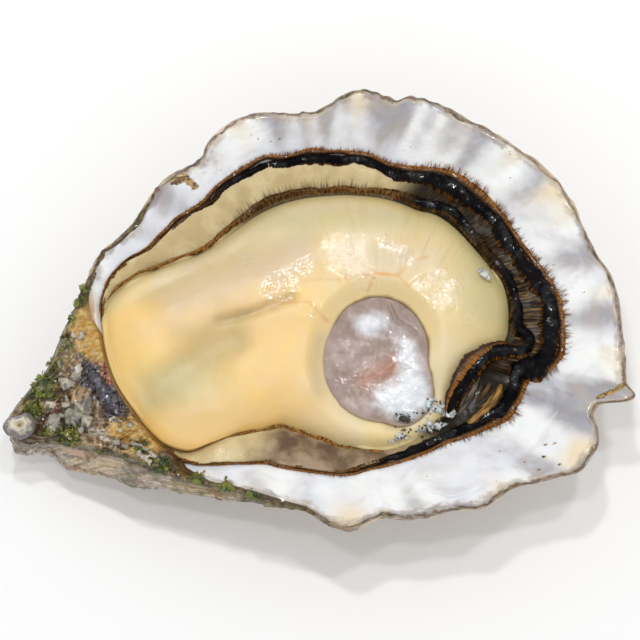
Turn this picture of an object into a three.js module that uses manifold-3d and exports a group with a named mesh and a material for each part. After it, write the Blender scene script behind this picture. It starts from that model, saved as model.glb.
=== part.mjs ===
// An oyster on the half shell, in millimetres, +Z up.
//
// The cupped valve lies on its belly with the hinge at -X. The meat is left in it: a plump body,
// the cut adductor muscle that runs down to the shell, and the two mantle lobes with their dark
// frilled margins. Every piece is drawn in polar form round one hub, near the middle of the cup,
// as its radius and height by angle, so that neighbours share their edges with a small gap.
import * as THREE from "three";
import { mergeVertices } from "three/addons/utils/BufferGeometryUtils.js";
import Module from "manifold-3d";

const wasm = await Module();
wasm.setup();

// ---- Driving dimensions ----------------------------------------------------------------------

const HUB = { x: 2, y: 0 }; // where the spokes meet, in the outlines' own coordinates
const FLOOR = 3.2; // thickness of the shell at the hub
const LIP = 1.0; // width of the thin lip at the shell's edge
const LIP_THICKNESS = 1.3;
const HINGE_EDGE_HEIGHT = 17.2; // where the cup's wall meets the hinge plate
const FLAT_SPOT = { x: 13, y: 10 }; // half sizes of the worn spot that the shell rests on
const GAP = 0.35; // between neighbouring pieces
const CLEARANCE = 0.65; // under pieces that stand across the shell's ridges
const CROWN = 18.3; // top of the body
const MANTLE_THICKNESS = 1.7; // of the lower mantle lobe, over the shell
const RIM_SPOKES = 76; // spread evenly along the rim
// Closer spokes, in degrees, where the mantle turns in and round the beak.
const CLOSE_SPOKES = [{ from: -17.5, to: -9.5, count: 8 }, { from: -163, to: -156, count: 5 }];

// ---- Curves by angle -------------------------------------------------------------------------

const RADIANS = Math.PI / 180;
const TURN = 2 * Math.PI;
const lerp = THREE.MathUtils.lerp;
const smoothstep = THREE.MathUtils.smoothstep;
const clamp = THREE.MathUtils.clamp;

// A smooth closed curve through knots [angle, value], with no overshoot between them.
function throughKnots(knots) {
  const sorted = knots
    .map(([angle, value]) => [((angle % TURN) + TURN) % TURN, value])
    .sort((p, q) => p[0] - q[0]);
  const count = sorted.length;
  const at = (i) => {
    const lap = Math.floor(i / count);
    const [angle, value] = sorted[i - lap * count];
    return [angle + lap * TURN, value];
  };
  const chord = (i) => (at(i + 1)[1] - at(i)[1]) / (at(i + 1)[0] - at(i)[0]);
  const slope = (i) => {
    const [before, after] = [chord(i - 1), chord(i)];
    return before * after <= 0 ? 0 : (2 * before * after) / (before + after);
  };
  return (angle) => {
    const a = ((angle % TURN) + TURN) % TURN;
    let i = sorted.findLastIndex((knot) => knot[0] <= a);
    const [a0, v0] = at(i);
    const [a1, v1] = at(i + 1);
    const width = a1 - a0;
    const s = (a - a0) / width;
    const rise = v1 - v0;
    const start = slope(i) * width;
    const end = slope(i + 1) * width;
    return v0 + s * (start + s * (3 * rise - 2 * start - end + s * (start + end - 2 * rise)));
  };
}

// The radius by angle of an outline, from its points [x, y].
const outline = (points) =>
  throughKnots(
    points.map(([x, y]) => [Math.atan2(y - HUB.y, x - HUB.x), Math.hypot(x - HUB.x, y - HUB.y)]),
  );

// A value by angle, from stations [degrees, value].
const byAngle = (stations) => throughKnots(stations.map(([d, value]) => [d * RADIANS, value]));

// Where a radius at an angle is, in x and y.
const onPlan = (angle, radius) => [
  HUB.x + radius * Math.cos(angle),
  HUB.y + radius * Math.sin(angle),
];

// ---- The cup ---------------------------------------------------------------------------------

const rimRadius = outline([
  [49.4, 4.4], [46.2, 9.3], [41.1, 19.5], [25, 31.5], [16, 35.4], [13.1, 34.6], [7.3, 36.1],
  [-1, 32.5], [-14.1, 31.1], [-18, 28], [-20.1, 24.5], [-27.2, 19.7], [-30.3, 15],
  [-33.7, 11.1], [-36.5, 9], [-39.6, 3], [-45.6, -9.6], [-51.4, -16.8], [-52.8, -19.9],
  [-51.2, -22.8], [-44, -22.9], [-30.3, -26.7], [-9.9, -33], [-3.1, -34.7], [5.4, -38.2],
  [10.3, -36.2], [14.8, -36.6], [22.4, -35], [27.5, -34.6], [30.9, -32.1], [39.4, -29.6],
  [43.7, -28.3], [45.9, -25.2], [46.6, -21.7], [45.7, -19], [46.6, -17.6], [52.8, -16.1],
  [51.2, -13.8],
]);

// Inside edge of the hinge plate, where the cup's wall drops away from it.
const hingeEdge = outline([
  [-38, 2.8], [-37.6, -1.5], [-36.4, -8], [-34.5, -13.2], [-31.5, -18.3], [-27.6, -23.8],
  [-23, -27.8], [60, 0], [30, 50], [-30, 50], [-10, -60],
]);
const cavityRadius = (a) => Math.min(rimRadius(a) - LIP, hingeEdge(a));

// 1 along the hinge plate, 0 elsewhere.
const hinge = byAngle([[150, 0], [172, 0.15], [182, 1], [222, 1], [233, 0.3], [250, 0], [0, 0]]);

const rimBase = byAngle([
  [0, 23], [45, 23.2], [90, 23.6], [135, 22.4], [160, 21], [172, 20], [184, 17.5], [196, 14],
  [203, 12.6], [210, 15.5], [222, 18.6], [240, 20.8], [265, 22.4], [300, 23], [335, 22.4],
]);

// The folds that run out to the lobes of the rim: [degrees, half width in degrees, height].
const FLUTES = [
  [82, 7, 1.5], [115, 9, 1.1], [141, 6, 0.8], [59, 6, 0.7], [45, 6, 1.0], [24, 8, 1.3],
  [-13, 8, 1.2], [-31, 6, 1.4], [-54, 8, 1.2], [-85, 7, 1.3], [-104, 6, 0.6],
];
const foldedBy = (angle) =>
  FLUTES.reduce((sum, [at, width, height]) => {
    const off = ((angle / RADIANS - at + 540) % 360) - 180;
    return sum + height * Math.exp(-((off / width) ** 2));
  }, -0.6);
const fluteHeight = (a) => foldedBy(a) * (1 - hinge(a));
const rimHeight = (a) => rimBase(a) + fluteHeight(a);

// The ligament's groove, from the hinge plate's inside edge to the beak, with a ridge each side.
const BEAK = { x: -50.4, y: -19.6 };
const GROOVE_MOUTH = { x: -32.4, y: -13.6 };
const GROOVE = { depth: 1.9, mouthHalfWidth: 4.6, beakHalfWidth: 1.2, ridge: 0.9 };
function hingeRelief(x, y) {
  const along = { x: BEAK.x - GROOVE_MOUTH.x, y: BEAK.y - GROOVE_MOUTH.y };
  const length = Math.hypot(along.x, along.y);
  const dx = x - GROOVE_MOUTH.x;
  const dy = y - GROOVE_MOUTH.y;
  const s = clamp((dx * along.x + dy * along.y) / length ** 2, 0, 1);
  const across = Math.abs(dx * along.y - dy * along.x) / length;
  const halfWidth = lerp(GROOVE.mouthHalfWidth, GROOVE.beakHalfWidth, s);
  const groove = Math.exp(-((across / halfWidth) ** 4));
  const ridge = Math.exp(-(((across - 1.7 * halfWidth) / (0.5 * halfWidth)) ** 2));
  return (GROOVE.ridge * ridge - GROOVE.depth * groove) * (1 - 0.6 * s);
}

// Height of the shell's inside at an angle and radius.
function cupHeight(a, r) {
  const edge = lerp(rimBase(a), HINGE_EDGE_HEIGHT, hinge(a));
  const u = Math.min(r / cavityRadius(a), 1);
  const bowl = 0.5 * u ** 2 + 0.5 * Math.sin((Math.PI / 2) * u ** 2);
  const shape = lerp(bowl, u ** 4, 0.8 * hinge(a));
  const cup = FLOOR + (edge - FLOOR) * shape + fluteHeight(a) * smoothstep(u, 0.7, 1);
  if (u < 1) return cup;
  const v = (r - cavityRadius(a)) / (rimRadius(a) - cavityRadius(a));
  const plate = lerp(cup, rimHeight(a), v);
  return plate + hinge(a) * hingeRelief(...onPlan(a, r));
}

// ---- Outlines of the meat --------------------------------------------------------------------

// Outside edge of the lower mantle lobe, which lies on the shell.
const marginRadius = outline([
  [40.4, 1.4], [38.6, 4.4], [35.2, 9], [24.1, 21.6], [12.2, 24.7], [7.1, 26.4], [2, 26.4],
  [-4.8, 25.7], [-9.9, 25], [-18.4, 18.5], [-23.5, 15], [-28.6, 10], [-33.7, 6.8],
  [-36.9, 0.5], [-33.4, -13.1], [-30.3, -17.7], [-26.6, -23.3], [-22.7, -26.4],
  [-15, -26.9], [-8.2, -27], [-1.4, -28.2], [4.6, -28.7], [8.8, -27.5], [19, -23.8],
  [29.2, -19.4], [32.6, -17], [34.8, -12.2], [38.6, -10.7], [40.4, -8.5],
]);

// Inside edge of the upper mantle lobe's margin, where the smooth body begins.
const bodyRadius = outline([
  [32.4, 1.4], [26.7, 10.7], [20.7, 16.2], [16.5, 17.5], [0.3, 19.7], [-13.3, 14.3],
  [-17.6, 11], [-21.8, 8.7], [-35.1, 1.2], [-36, -2.4], [-29.7, -17.7], [-25.9, -22.2],
  [-22, -24], [-17.6, -23], [-13.3, -21.4], [-9.6, -20.6], [-5.7, -19.9], [-3.1, -20.7],
  [5.4, -23.5], [13.1, -23.8], [19.3, -20.4], [21.4, -17.7], [21.4, -14.3], [22.1, -11.4],
  [25.8, -6.8], [28.4, -5.8], [32.3, -5.3],
]);

// Widths of the two dark margins, measured along the spokes.
const lowerMarginWidth = byAngle([
  [-120, 0.8], [-95, 0.8], [-85, 0.9], [-74, 1.3], [-64, 1.6], [-52, 1.7], [-43, 2.1],
  [-29, 2.3], [-24, 2.4], [-21, 3], [-18, 4.4], [-15.5, 4.1], [-11.5, 3.5], [-6, 2.9],
  [0, 2.8], [12, 2.7], [25, 2.4], [40, 3.2], [50, 2.6], [60, 2.2], [80, 1.7], [105, 1.6],
  [120, 1.3], [150, 1], [170, 0.7], [200, 0.7],
]);
const upperMarginWidth = byAngle([
  [-42, 1.2], [-36, 2.3], [-28, 3], [-22, 3.5], [-18, 4.5], [-16, 5.8], [-14, 6.2],
  [-12.4, 6], [-11, 4.2], [-9.5, 2.7], [-6, 2.3], [0, 2.6], [10, 2.2], [25, 1.7], [40, 2.8],
  [50, 2.2], [60, 1.8], [75, 1.4], [90, 1.3], [120, 1.6], [135, 1.4], [150, 0.9], [168, 0.6],
  [200, 0.6],
]);
const flapWidth = byAngle([[-60, 0.9], [-72, 1.3], [-90, 1.1], [-108, 1.1], [-128, 0.6], [90, 1]]);

// Where each margin runs, in degrees. They go clockwise from the hinge end over the back.
const LOWER_MANTLE = { from: -131, to: 171 };
const UPPER_MARGIN = { from: -44, to: 171 };
const FLAP = { from: -131, to: -62 };
const isFlap = (a) => a / RADIANS < (UPPER_MARGIN.from + FLAP.to) / 2;
const innerMarginWidth = (a) => (isFlap(a) ? flapWidth(a) : upperMarginWidth(a));

// ---- The body's surface ----------------------------------------------------------------------

const bodyEdgeHeight = byAngle([
  [0, 14.4], [45, 14.8], [90, 14.9], [135, 15], [165, 16], [180, 16.6], [215, 16.8],
  [228, 17], [240, 15.4], [262, 14.6], [300, 14.6], [340, 14.6],
]);

// Soft furrows across the body: ends [x, y], half width and depth.
const FURROWS = [
  { from: [-25, 4], to: [-2, 14], halfWidth: 2.6, depth: 1.0 },
  { from: [-22, -3.5], to: [-1, 4], halfWidth: 2.2, depth: 0.9 },
  { from: [-29, -15], to: [-13, -6.5], halfWidth: 2.8, depth: 0.9 },
];
function furrowDepth(x, y) {
  return FURROWS.reduce((sum, { from, to, halfWidth, depth }) => {
    const [ax, ay] = [to[0] - from[0], to[1] - from[1]];
    const s = clamp(((x - from[0]) * ax + (y - from[1]) * ay) / (ax ** 2 + ay ** 2), 0, 1);
    const off = Math.hypot(x - from[0] - s * ax, y - from[1] - s * ay);
    return sum + depth * Math.exp(-((off / halfWidth) ** 2));
  }, 0);
}

// The adductor muscle's outline, about its own centre: [degrees, radius].
const MUSCLE = { x: 10.2, y: -9.6, top: 17.0, crown: 0.6, sink: 1.3 };
const muscleRadius = byAngle([
  [0, 8.4], [35, 9.6], [60, 10.6], [90, 11.3], [120, 10.7], [150, 9.6], [180, 9.2],
  [210, 9.4], [240, 9.6], [270, 9.9], [300, 11.6], [325, 11], [345, 9.2],
]);
function hollowDepth(x, y) {
  const angle = Math.atan2(y - MUSCLE.y, x - MUSCLE.x);
  const off = Math.hypot(x - MUSCLE.x, y - MUSCLE.y) - muscleRadius(angle);
  return MUSCLE.sink * (1 - smoothstep(off, -0.5, 3.5));
}

// The body is plump: it rounds down to its edge over the width of its shoulder.
const SHOULDER = 11;
const LEAST_THICKNESS = 0.8;
function bodyHeight(a, r) {
  const fromEdge = clamp((bodyRadius(a) - r) / SHOULDER, 0, 1);
  const rounded = 1 - (1 - fromEdge) ** 2.6;
  const [x, y] = onPlan(a, r);
  const soft = (furrowDepth(x, y) + hollowDepth(x, y)) * smoothstep(fromEdge, 0, 0.4);
  const dome = lerp(bodyEdgeHeight(a), CROWN, rounded) - soft;
  return Math.max(dome, cupHeight(a, r) + GAP + LEAST_THICKNESS);
}

// ---- Making solids ---------------------------------------------------------------------------

// Skins a row of sections, which go round the hub anticlockwise. Each is a list of points
// [x, y, z] from the top over the outside to the underside. With closed true the last section
// joins the first; otherwise both ends are capped. With looped true each section is a closed
// loop; otherwise its ends lie on poles that all the sections share.
function skin(sections, { closed, looped }) {
  const positions = sections.flat(2);
  const across = sections[0].length;
  const index = [];
  const vertex = (i, j) => (i % sections.length) * across + (j % across);
  const rows = closed ? sections.length : sections.length - 1;
  const columns = looped ? across : across - 1;
  for (let i = 0; i < rows; i++)
    for (let j = 0; j < columns; j++) {
      index.push(vertex(i, j), vertex(i, j + 1), vertex(i + 1, j + 1));
      index.push(vertex(i, j), vertex(i + 1, j + 1), vertex(i + 1, j));
    }
  if (!closed)
    for (let j = 1; j < across - 1; j++) {
      const last = sections.length - 1;
      index.push(vertex(0, 0), vertex(0, j + 1), vertex(0, j));
      index.push(vertex(last, 0), vertex(last, j), vertex(last, j + 1));
    }
  const loose = new THREE.BufferGeometry();
  loose.setAttribute("position", new THREE.Float32BufferAttribute(positions, 3));
  loose.setIndex(index);
  return withoutCollapsed(mergeVertices(loose, 1e-4));
}

// Drops the triangles that collapsed where a section's points meet at a pole.
function withoutCollapsed(geometry) {
  const { array } = geometry.index;
  const kept = [];
  for (let i = 0; i < array.length; i += 3) {
    const [a, b, c] = array.subarray(i, i + 3);
    if (a !== b && b !== c && a !== c) kept.push(a, b, c);
  }
  geometry.setIndex(kept);
  return geometry;
}

function asSolid(geometry) {
  const mesh = new wasm.Mesh({
    numProp: 3,
    vertProperties: geometry.attributes.position.array,
    triVerts: new Uint32Array(geometry.index.array),
  });
  return new wasm.Manifold(mesh);
}

function asGeometry(solid) {
  const mesh = solid.getMesh();
  const geometry = new THREE.BufferGeometry();
  geometry.setAttribute("position", new THREE.BufferAttribute(mesh.vertProperties, 3));
  geometry.setIndex(new THREE.BufferAttribute(mesh.triVerts, 1));
  return geometry;
}

// Spokes at even steps along the rim, with closer ones where the outlines turn sharply.
function spokeAngles() {
  const fine = 2880;
  const angles = Array.from({ length: fine + 1 }, (_, i) => (i / fine) * TURN);
  const lengths = [0];
  for (let i = 1; i <= fine; i++) {
    const [x0, y0] = onPlan(angles[i - 1], rimRadius(angles[i - 1]));
    const [x1, y1] = onPlan(angles[i], rimRadius(angles[i]));
    lengths.push(lengths[i - 1] + Math.hypot(x1 - x0, y1 - y0));
  }
  const even = Array.from({ length: RIM_SPOKES }, (_, k) => {
    const want = (k / RIM_SPOKES) * lengths[fine];
    return angles[lengths.findIndex((length) => length >= want)];
  });
  const signed = even.map((a) => (a > Math.PI ? a - TURN : a));
  const isOutside = ({ from, to }) => (a) =>
    a < (from - 1) * RADIANS || a > (to + 1) * RADIANS;
  const outside = CLOSE_SPOKES.reduce((kept, arc) => kept.filter(isOutside(arc)), signed);
  const close = CLOSE_SPOKES.flatMap(({ from, to, count }) =>
    Array.from({ length: count + 1 }, (_, i) => lerp(from, to, i / count) * RADIANS),
  );
  return [...outside, ...close].sort((p, q) => p - q);
}
const SPOKES = spokeAngles();

// The spokes from one angle to another, in degrees, with one at each end. Angles past 180
// degrees are written as negative ones.
function spokesBetween({ from, to }) {
  const [low, high] = [from * RADIANS, to * RADIANS];
  const apart = 0.6 * RADIANS;
  return [low, ...SPOKES.filter((a) => a > low + apart && a < high - apart), high];
}

const point = (a, r, z) => [...onPlan(a, r), z];

// ---- The shell -------------------------------------------------------------------------------

// How far the outside stands past the rim, lower down, on the hinge side of the front.
const bulge = byAngle([
  [196, 0.2], [205, 2.2], [211, 4.2], [218, 3], [230, 1.5], [245, 0.8], [262, 0.3], [0, 0.2],
  [90, 0.2], [180, 0.3],
]);
const sideThickness = byAngle([
  [165, LIP_THICKNESS], [185, 3], [200, 5.5], [211, 8], [222, 6], [240, 3.4], [262, 1.8],
  [290, LIP_THICKNESS], [0, LIP_THICKNESS], [90, LIP_THICKNESS],
]);
const sideHeight = (a) => rimHeight(a) - sideThickness(a);
const outerRadius = (a) => rimRadius(a) + bulge(a);
const flatRadius = (a) => 1 / Math.hypot(Math.cos(a) / FLAT_SPOT.x, Math.sin(a) / FLAT_SPOT.y);

// Growth shingles: the layers of shell whose free edges step down the outside.
const SHINGLES = { count: 5, step: 0.7 };
const BELLY_CURVE = 1.22; // 1 is a straight cone, more is rounder
function undersideHeight(a, w, beyondEdge) {
  const flat = flatRadius(a) / outerRadius(a);
  const belly = sideHeight(a) * clamp((w - flat) / (1 - flat), 0, 1) ** BELLY_CURVE;
  const step = beyondEdge ? 0 : SHINGLES.step * smoothstep(w, flat, flat + 0.25);
  return Math.max(belly - step, 0);
}

function shellSection(a) {
  const inside = [0, 0.13, 0.3, 0.45, 0.58, 0.69, 0.79, 0.88, 0.95, 1].map((u) => {
    const r = u * cavityRadius(a);
    return point(a, r, cupHeight(a, r));
  });
  const plate = [1 / 3, 2 / 3, 1].map((v) => {
    const r = lerp(cavityRadius(a), rimRadius(a), v);
    return point(a, r, cupHeight(a, r));
  });
  const side = point(a, outerRadius(a), sideHeight(a));
  const flat = flatRadius(a) / outerRadius(a);
  const edgeWidth = 0.015;
  const shingles = [];
  for (let k = 1; k <= SHINGLES.count; k++) {
    const w = lerp(1, flat, k / (SHINGLES.count + 1));
    shingles.push(point(a, (w + edgeWidth) * outerRadius(a), undersideHeight(a, w, true)));
    shingles.push(point(a, w * outerRadius(a), undersideHeight(a, w, false)));
  }
  const spot = [point(a, flatRadius(a), 0), point(a, 0, 0)];
  return [...inside, ...plate, side, ...shingles, ...spot];
}

const shellGeometry = skin(SPOKES.map(shellSection), { closed: true, looped: false });

// ---- The body and the muscle -----------------------------------------------------------------

function bodySection(a) {
  const edge = bodyRadius(a) - GAP / 2;
  const radii = [0, 0.2, 0.4, 0.58, 0.73, 0.85, 0.93, 0.98, 1].map((t) => t * edge);
  const over = radii.map((r) => point(a, r, bodyHeight(a, r)));
  const under = [1, 0.85, 0.6, 0.3, 0].map((t) => {
    const r = t * edge;
    return point(a, r, cupHeight(a, r) + GAP);
  });
  return [...over, ...under];
}
const wholeBody = skin(SPOKES.map(bodySection), { closed: true, looped: false });

// A column on the muscle's outline, grown by a margin, between two heights.
function muscleColumn(grow, bottomAt, topAt) {
  const count = 36;
  const sections = Array.from({ length: count }, (_, i) => {
    const angle = (i / count) * TURN;
    const at = (share, heightAt) => {
      const r = share * (muscleRadius(angle) + grow);
      const [x, y] = [MUSCLE.x + r * Math.cos(angle), MUSCLE.y + r * Math.sin(angle)];
      return [x, y, heightAt(x, y, share)];
    };
    const top = [0, 0.4, 0.7, 0.88, 0.97, 1].map((share) => at(share, topAt));
    const bottom = [1, 0.66, 0.33, 0].map((share) => at(share, bottomAt));
    return [...top, ...bottom];
  });
  return skin(sections, { closed: true, looped: false });
}
const cupHeightAt = (x, y) =>
  cupHeight(Math.atan2(y - HUB.y, x - HUB.x), Math.hypot(x - HUB.x, y - HUB.y));
const overCup = (x, y) => cupHeightAt(x, y) + CLEARANCE;
const muscleTop = (x, y, share) => MUSCLE.top + MUSCLE.crown * (1 - 2.2 * share ** 6);
const muscleGeometry = muscleColumn(0, overCup, muscleTop);
const socket = muscleColumn(GAP, () => -1, () => CROWN + 5);
const bodyGeometry = asGeometry(asSolid(wholeBody).subtract(asSolid(socket)));

// ---- The mantle ------------------------------------------------------------------------------

// A frilled margin rises and falls along its length.
const FRILL = { waves: 46, height: 0.35 };
const frill = (a) => FRILL.height * Math.sin(FRILL.waves * a) * Math.sin(7 * a + 1);
const tapered = (a, { from, to }) => {
  const d = a / RADIANS;
  return smoothstep(d, from, from + 8) * smoothstep(-d, -to, -to + 8);
};

// The lower lobe: a sheet on the shell, from the inner margin out to its own raised dark margin.
const LOWER_CREST = 1.0;
function lowerMantleSection(a) {
  const inner = bodyRadius(a) + innerMarginWidth(a) + GAP / 2;
  const outer = Math.max(marginRadius(a), inner + 1.2);
  const crestStart = Math.max(outer - lowerMarginWidth(a), inner + 0.3 * (outer - inner));
  const crest = (LOWER_CREST + frill(a)) * tapered(a, LOWER_MANTLE);
  const raised = (r, rise) => point(a, r, cupHeight(a, r) + rise);
  const width = outer - crestStart;
  const over = [
    raised(inner, MANTLE_THICKNESS),
    raised(lerp(inner, crestStart, 0.5), MANTLE_THICKNESS),
    raised(crestStart, MANTLE_THICKNESS),
    raised(crestStart + 0.25 * width, MANTLE_THICKNESS + crest),
    raised(crestStart + 0.7 * width, MANTLE_THICKNESS + 0.8 * crest),
    raised(outer, GAP + 0.5),
  ];
  const under = [1, 0.5, 0].map((t) => raised(lerp(inner, outer, t), GAP));
  return [...over, ...under];
}
const lowerMantleGeometry = skin(spokesBetween(LOWER_MANTLE).map(lowerMantleSection), {
  closed: false,
  looped: true,
});

// The upper lobe's margin: a rounded frilled edge between the body and the lower lobe.
const UPPER_CREST = 1.1;
function upperMarginSection(range, width) {
  return (a) => {
    const inner = bodyRadius(a) + GAP / 2;
    const outer = bodyRadius(a) + width(a) - GAP / 2;
    const foot = bodyHeight(a, bodyRadius(a));
    const crest = (UPPER_CREST + frill(a + 0.3)) * tapered(a, range);
    const over = [
      point(a, inner, foot + 0.2 * crest),
      point(a, lerp(inner, outer, 0.3), foot + crest),
      point(a, lerp(inner, outer, 0.75), foot + 0.8 * crest),
      point(a, outer, Math.max(foot - 0.6, cupHeight(a, outer) + GAP + LEAST_THICKNESS)),
    ];
    const under = [outer, inner].map((r) => point(a, r, cupHeight(a, r) + GAP));
    return [...over, ...under];
  };
}
const marginGeometry = (range, width) =>
  skin(spokesBetween(range).map(upperMarginSection(range, width)), {
    closed: false,
    looped: true,
  });

// ---- What sits on the hinge ------------------------------------------------------------------

// A lump that follows the plate under it: half sizes, turned by an angle, with a knobbly top.
function lump({ x, y, length, width, height, turn, knobs }) {
  const count = 18;
  const c = Math.cos(turn * RADIANS);
  const s = Math.sin(turn * RADIANS);
  const sections = Array.from({ length: count }, (_, i) => {
    const angle = (i / count) * TURN;
    const wobble = 1 + 0.12 * Math.sin(3 * angle + x) + 0.08 * Math.sin(5 * angle);
    const at = (share, rise) => {
      const u = share * wobble * length * Math.cos(angle);
      const v = share * wobble * width * Math.sin(angle);
      const px = x + u * c - v * s;
      const py = y + u * s + v * c;
      return [px, py, cupHeightAt(px, py) + CLEARANCE + rise];
    };
    const knob = 1 + knobs * Math.sin(4 * angle + y);
    return [
      at(0, height), at(0.4, 0.95 * height * knob), at(0.8, 0.7 * height * knob),
      at(1, 0.25 * height), at(1, 0), at(0.6, 0), at(0, 0),
    ];
  });
  return skin(sections, { closed: true, looped: false });
}

// A barnacle: a fluted cone with a crater in its top, its foot following the shell.
function barnacle({ x, y, radius, height }) {
  const count = 24;
  const middle = cupHeightAt(x, y) + CLEARANCE;
  const sections = Array.from({ length: count }, (_, i) => {
    const angle = (i / count) * TURN;
    const flute = 1 + 0.1 * Math.cos(6 * angle);
    const onFoot = (share, rise) => {
      const r = share * radius * flute;
      const [px, py] = [x + r * Math.cos(angle), y + r * Math.sin(angle)];
      return [px, py, cupHeightAt(px, py) + CLEARANCE + rise];
    };
    const onCone = (share, rise) => {
      const r = share * radius * flute;
      return [x + r * Math.cos(angle), y + r * Math.sin(angle), middle + rise * height];
    };
    return [
      onCone(0, 0.5), onCone(0.25, 0.45), onCone(0.38, 0.9), onCone(0.55, 1), onCone(0.8, 0.6),
      onFoot(1, 0.4), onFoot(1, 0), onFoot(0.6, 0), onFoot(0, 0),
    ];
  });
  return skin(sections, { closed: true, looped: false });
}

// ---- The object ------------------------------------------------------------------------------

const material = (colour, roughness) =>
  new THREE.MeshStandardMaterial({ color: colour, roughness, metalness: 0 });
const SHELL_WHITE = material(0xe6e4e2, 0.3);
const MEAT = material(0xe9cf9c, 0.25);
const MUSCLE_GREY = material(0xb9a6a4, 0.2);
const MARGIN_BLACK = material(0x2a1c12, 0.2);
const FLAP_BROWN = material(0x8a5f2c, 0.25);
const LIGAMENT_PURPLE = material(0x5a5468, 0.6);
const ENCRUSTED = material(0xa79f92, 0.7);

const BARNACLE = { x: -48.9, y: -19.9, radius: 2.0, height: 1.6 };
const LIGAMENT = { x: -35.6, y: -13.3, length: 4.4, width: 1.7, height: 1.1, turn: 114, knobs: 0.1 };
const NODULES = [
  { x: -41.6, y: -16.6, length: 2.9, width: 1.7, height: 1.5, turn: 112, knobs: 0.15 },
  { x: -40.4, y: -10.6, length: 2.3, width: 1.8, height: 1.2, turn: 60, knobs: 0.2 },
];

const oyster = new THREE.Group();
function add(name, geometry, look) {
  const mesh = new THREE.Mesh(geometry, look);
  mesh.name = name;
  oyster.add(mesh);
}

add("shell", shellGeometry, SHELL_WHITE);
add("body", bodyGeometry, MEAT);
add("adductor_muscle", muscleGeometry, MUSCLE_GREY);
add("lower_mantle", lowerMantleGeometry, MARGIN_BLACK);
add("upper_mantle_margin", marginGeometry(UPPER_MARGIN, upperMarginWidth), MARGIN_BLACK);
add("mantle_flap", marginGeometry(FLAP, flapWidth), FLAP_BROWN);
add("ligament", lump(LIGAMENT), LIGAMENT_PURPLE);
add("barnacle", barnacle(BARNACLE), ENCRUSTED);
NODULES.forEach((nodule, i) => add(`nodule_${i + 1}`, lump(nodule), ENCRUSTED));

// The origin is the middle of the footprint, on the surface that the shell rests on.
const box = new THREE.Box3().setFromObject(oyster, true);
const middle = box.getCenter(new THREE.Vector3());
oyster.position.set(-middle.x, -middle.y, 0);

export default oyster;
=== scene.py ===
import math

import bpy
import numpy as np
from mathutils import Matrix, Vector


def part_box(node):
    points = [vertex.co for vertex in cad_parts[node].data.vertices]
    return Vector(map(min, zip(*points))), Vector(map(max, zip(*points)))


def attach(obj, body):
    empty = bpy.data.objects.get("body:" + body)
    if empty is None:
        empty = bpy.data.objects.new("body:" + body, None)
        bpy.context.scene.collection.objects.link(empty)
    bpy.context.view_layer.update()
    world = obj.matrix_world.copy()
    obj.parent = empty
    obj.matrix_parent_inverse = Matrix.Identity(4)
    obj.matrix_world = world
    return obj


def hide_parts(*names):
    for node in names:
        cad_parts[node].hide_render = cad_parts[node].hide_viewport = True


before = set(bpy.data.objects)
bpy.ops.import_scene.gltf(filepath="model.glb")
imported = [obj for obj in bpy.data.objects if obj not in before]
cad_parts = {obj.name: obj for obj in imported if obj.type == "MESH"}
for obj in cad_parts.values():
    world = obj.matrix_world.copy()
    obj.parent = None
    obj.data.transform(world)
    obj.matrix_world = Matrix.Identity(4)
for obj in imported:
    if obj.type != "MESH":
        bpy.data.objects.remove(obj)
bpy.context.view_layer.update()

# ---- The pearly lining -------------------------------------------------------------------------
# The inside of the cupped valve: foliated shell laid down by the mantle, white and glassy, with
# painted lavender-grey shade between the folds and cream on their crests. It ends in a thin lip.

# Sizes are in millimetres. Everything is drawn from a hub near the middle of the cup, as its
# radius by angle, in the shell's own coordinates, and moved onto the frame when it is meshed.
TURN = 2 * math.pi
HUB = np.array([2.0, 0.0])
HUB_FROM_SPUR = 51.007
HUB_FROM_BACK = 36.22
shell_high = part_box("shell")[1]
OWN_TO_FRAME = np.array([
    shell_high[0] * 1000 - HUB_FROM_SPUR - HUB[0],
    shell_high[1] * 1000 - HUB_FROM_BACK - HUB[1],
    0.0,
])


def lerp(a, b, t):
    """From a at 0 to b at 1."""
    return a + (b - a) * t


def smoothstep(x, low, high):
    """0 at low and 1 at high, with soft ends; low may be the larger one."""
    t = np.clip((x - low) / (high - low), 0, 1)
    return t * t * (3 - 2 * t)


def through_knots(angles, values):
    """A smooth closed curve by angle through its knots, with no overshoot between them."""
    order = np.argsort(np.mod(angles, TURN))
    a = np.mod(angles, TURN)[order]
    v = np.asarray(values, float)[order]
    a = np.concatenate([a[-2:] - TURN, a, a[:2] + TURN])
    v = np.concatenate([v[-2:], v, v[:2]])
    width = np.diff(a)
    chord = np.diff(v) / width
    product = chord[:-1] * chord[1:]
    total = np.where(product > 0, chord[:-1] + chord[1:], 1)
    slope = np.where(product > 0, 2 * product / total, 0)

    def value(angle):
        t = np.mod(angle, TURN)
        i = np.clip(np.searchsorted(a, t, side="right") - 1, 1, len(a) - 3)
        s = (t - a[i]) / width[i]
        rise = v[i + 1] - v[i]
        start = slope[i - 1] * width[i]
        end = slope[i] * width[i]
        return v[i] + s * (start + s * (3 * rise - 2 * start - end + s * (start + end - 2 * rise)))

    return value


def outline(points):
    """A radius by angle round the hub, through points on the plan."""
    off = np.array(points, float) - HUB
    return through_knots(np.arctan2(off[:, 1], off[:, 0]), np.hypot(off[:, 0], off[:, 1]))


def by_angle(stations):
    """A value by angle round the hub, through (degrees, value) stations."""
    pairs = np.array(stations, float)
    return through_knots(np.radians(pairs[:, 0]), pairs[:, 1])


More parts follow.
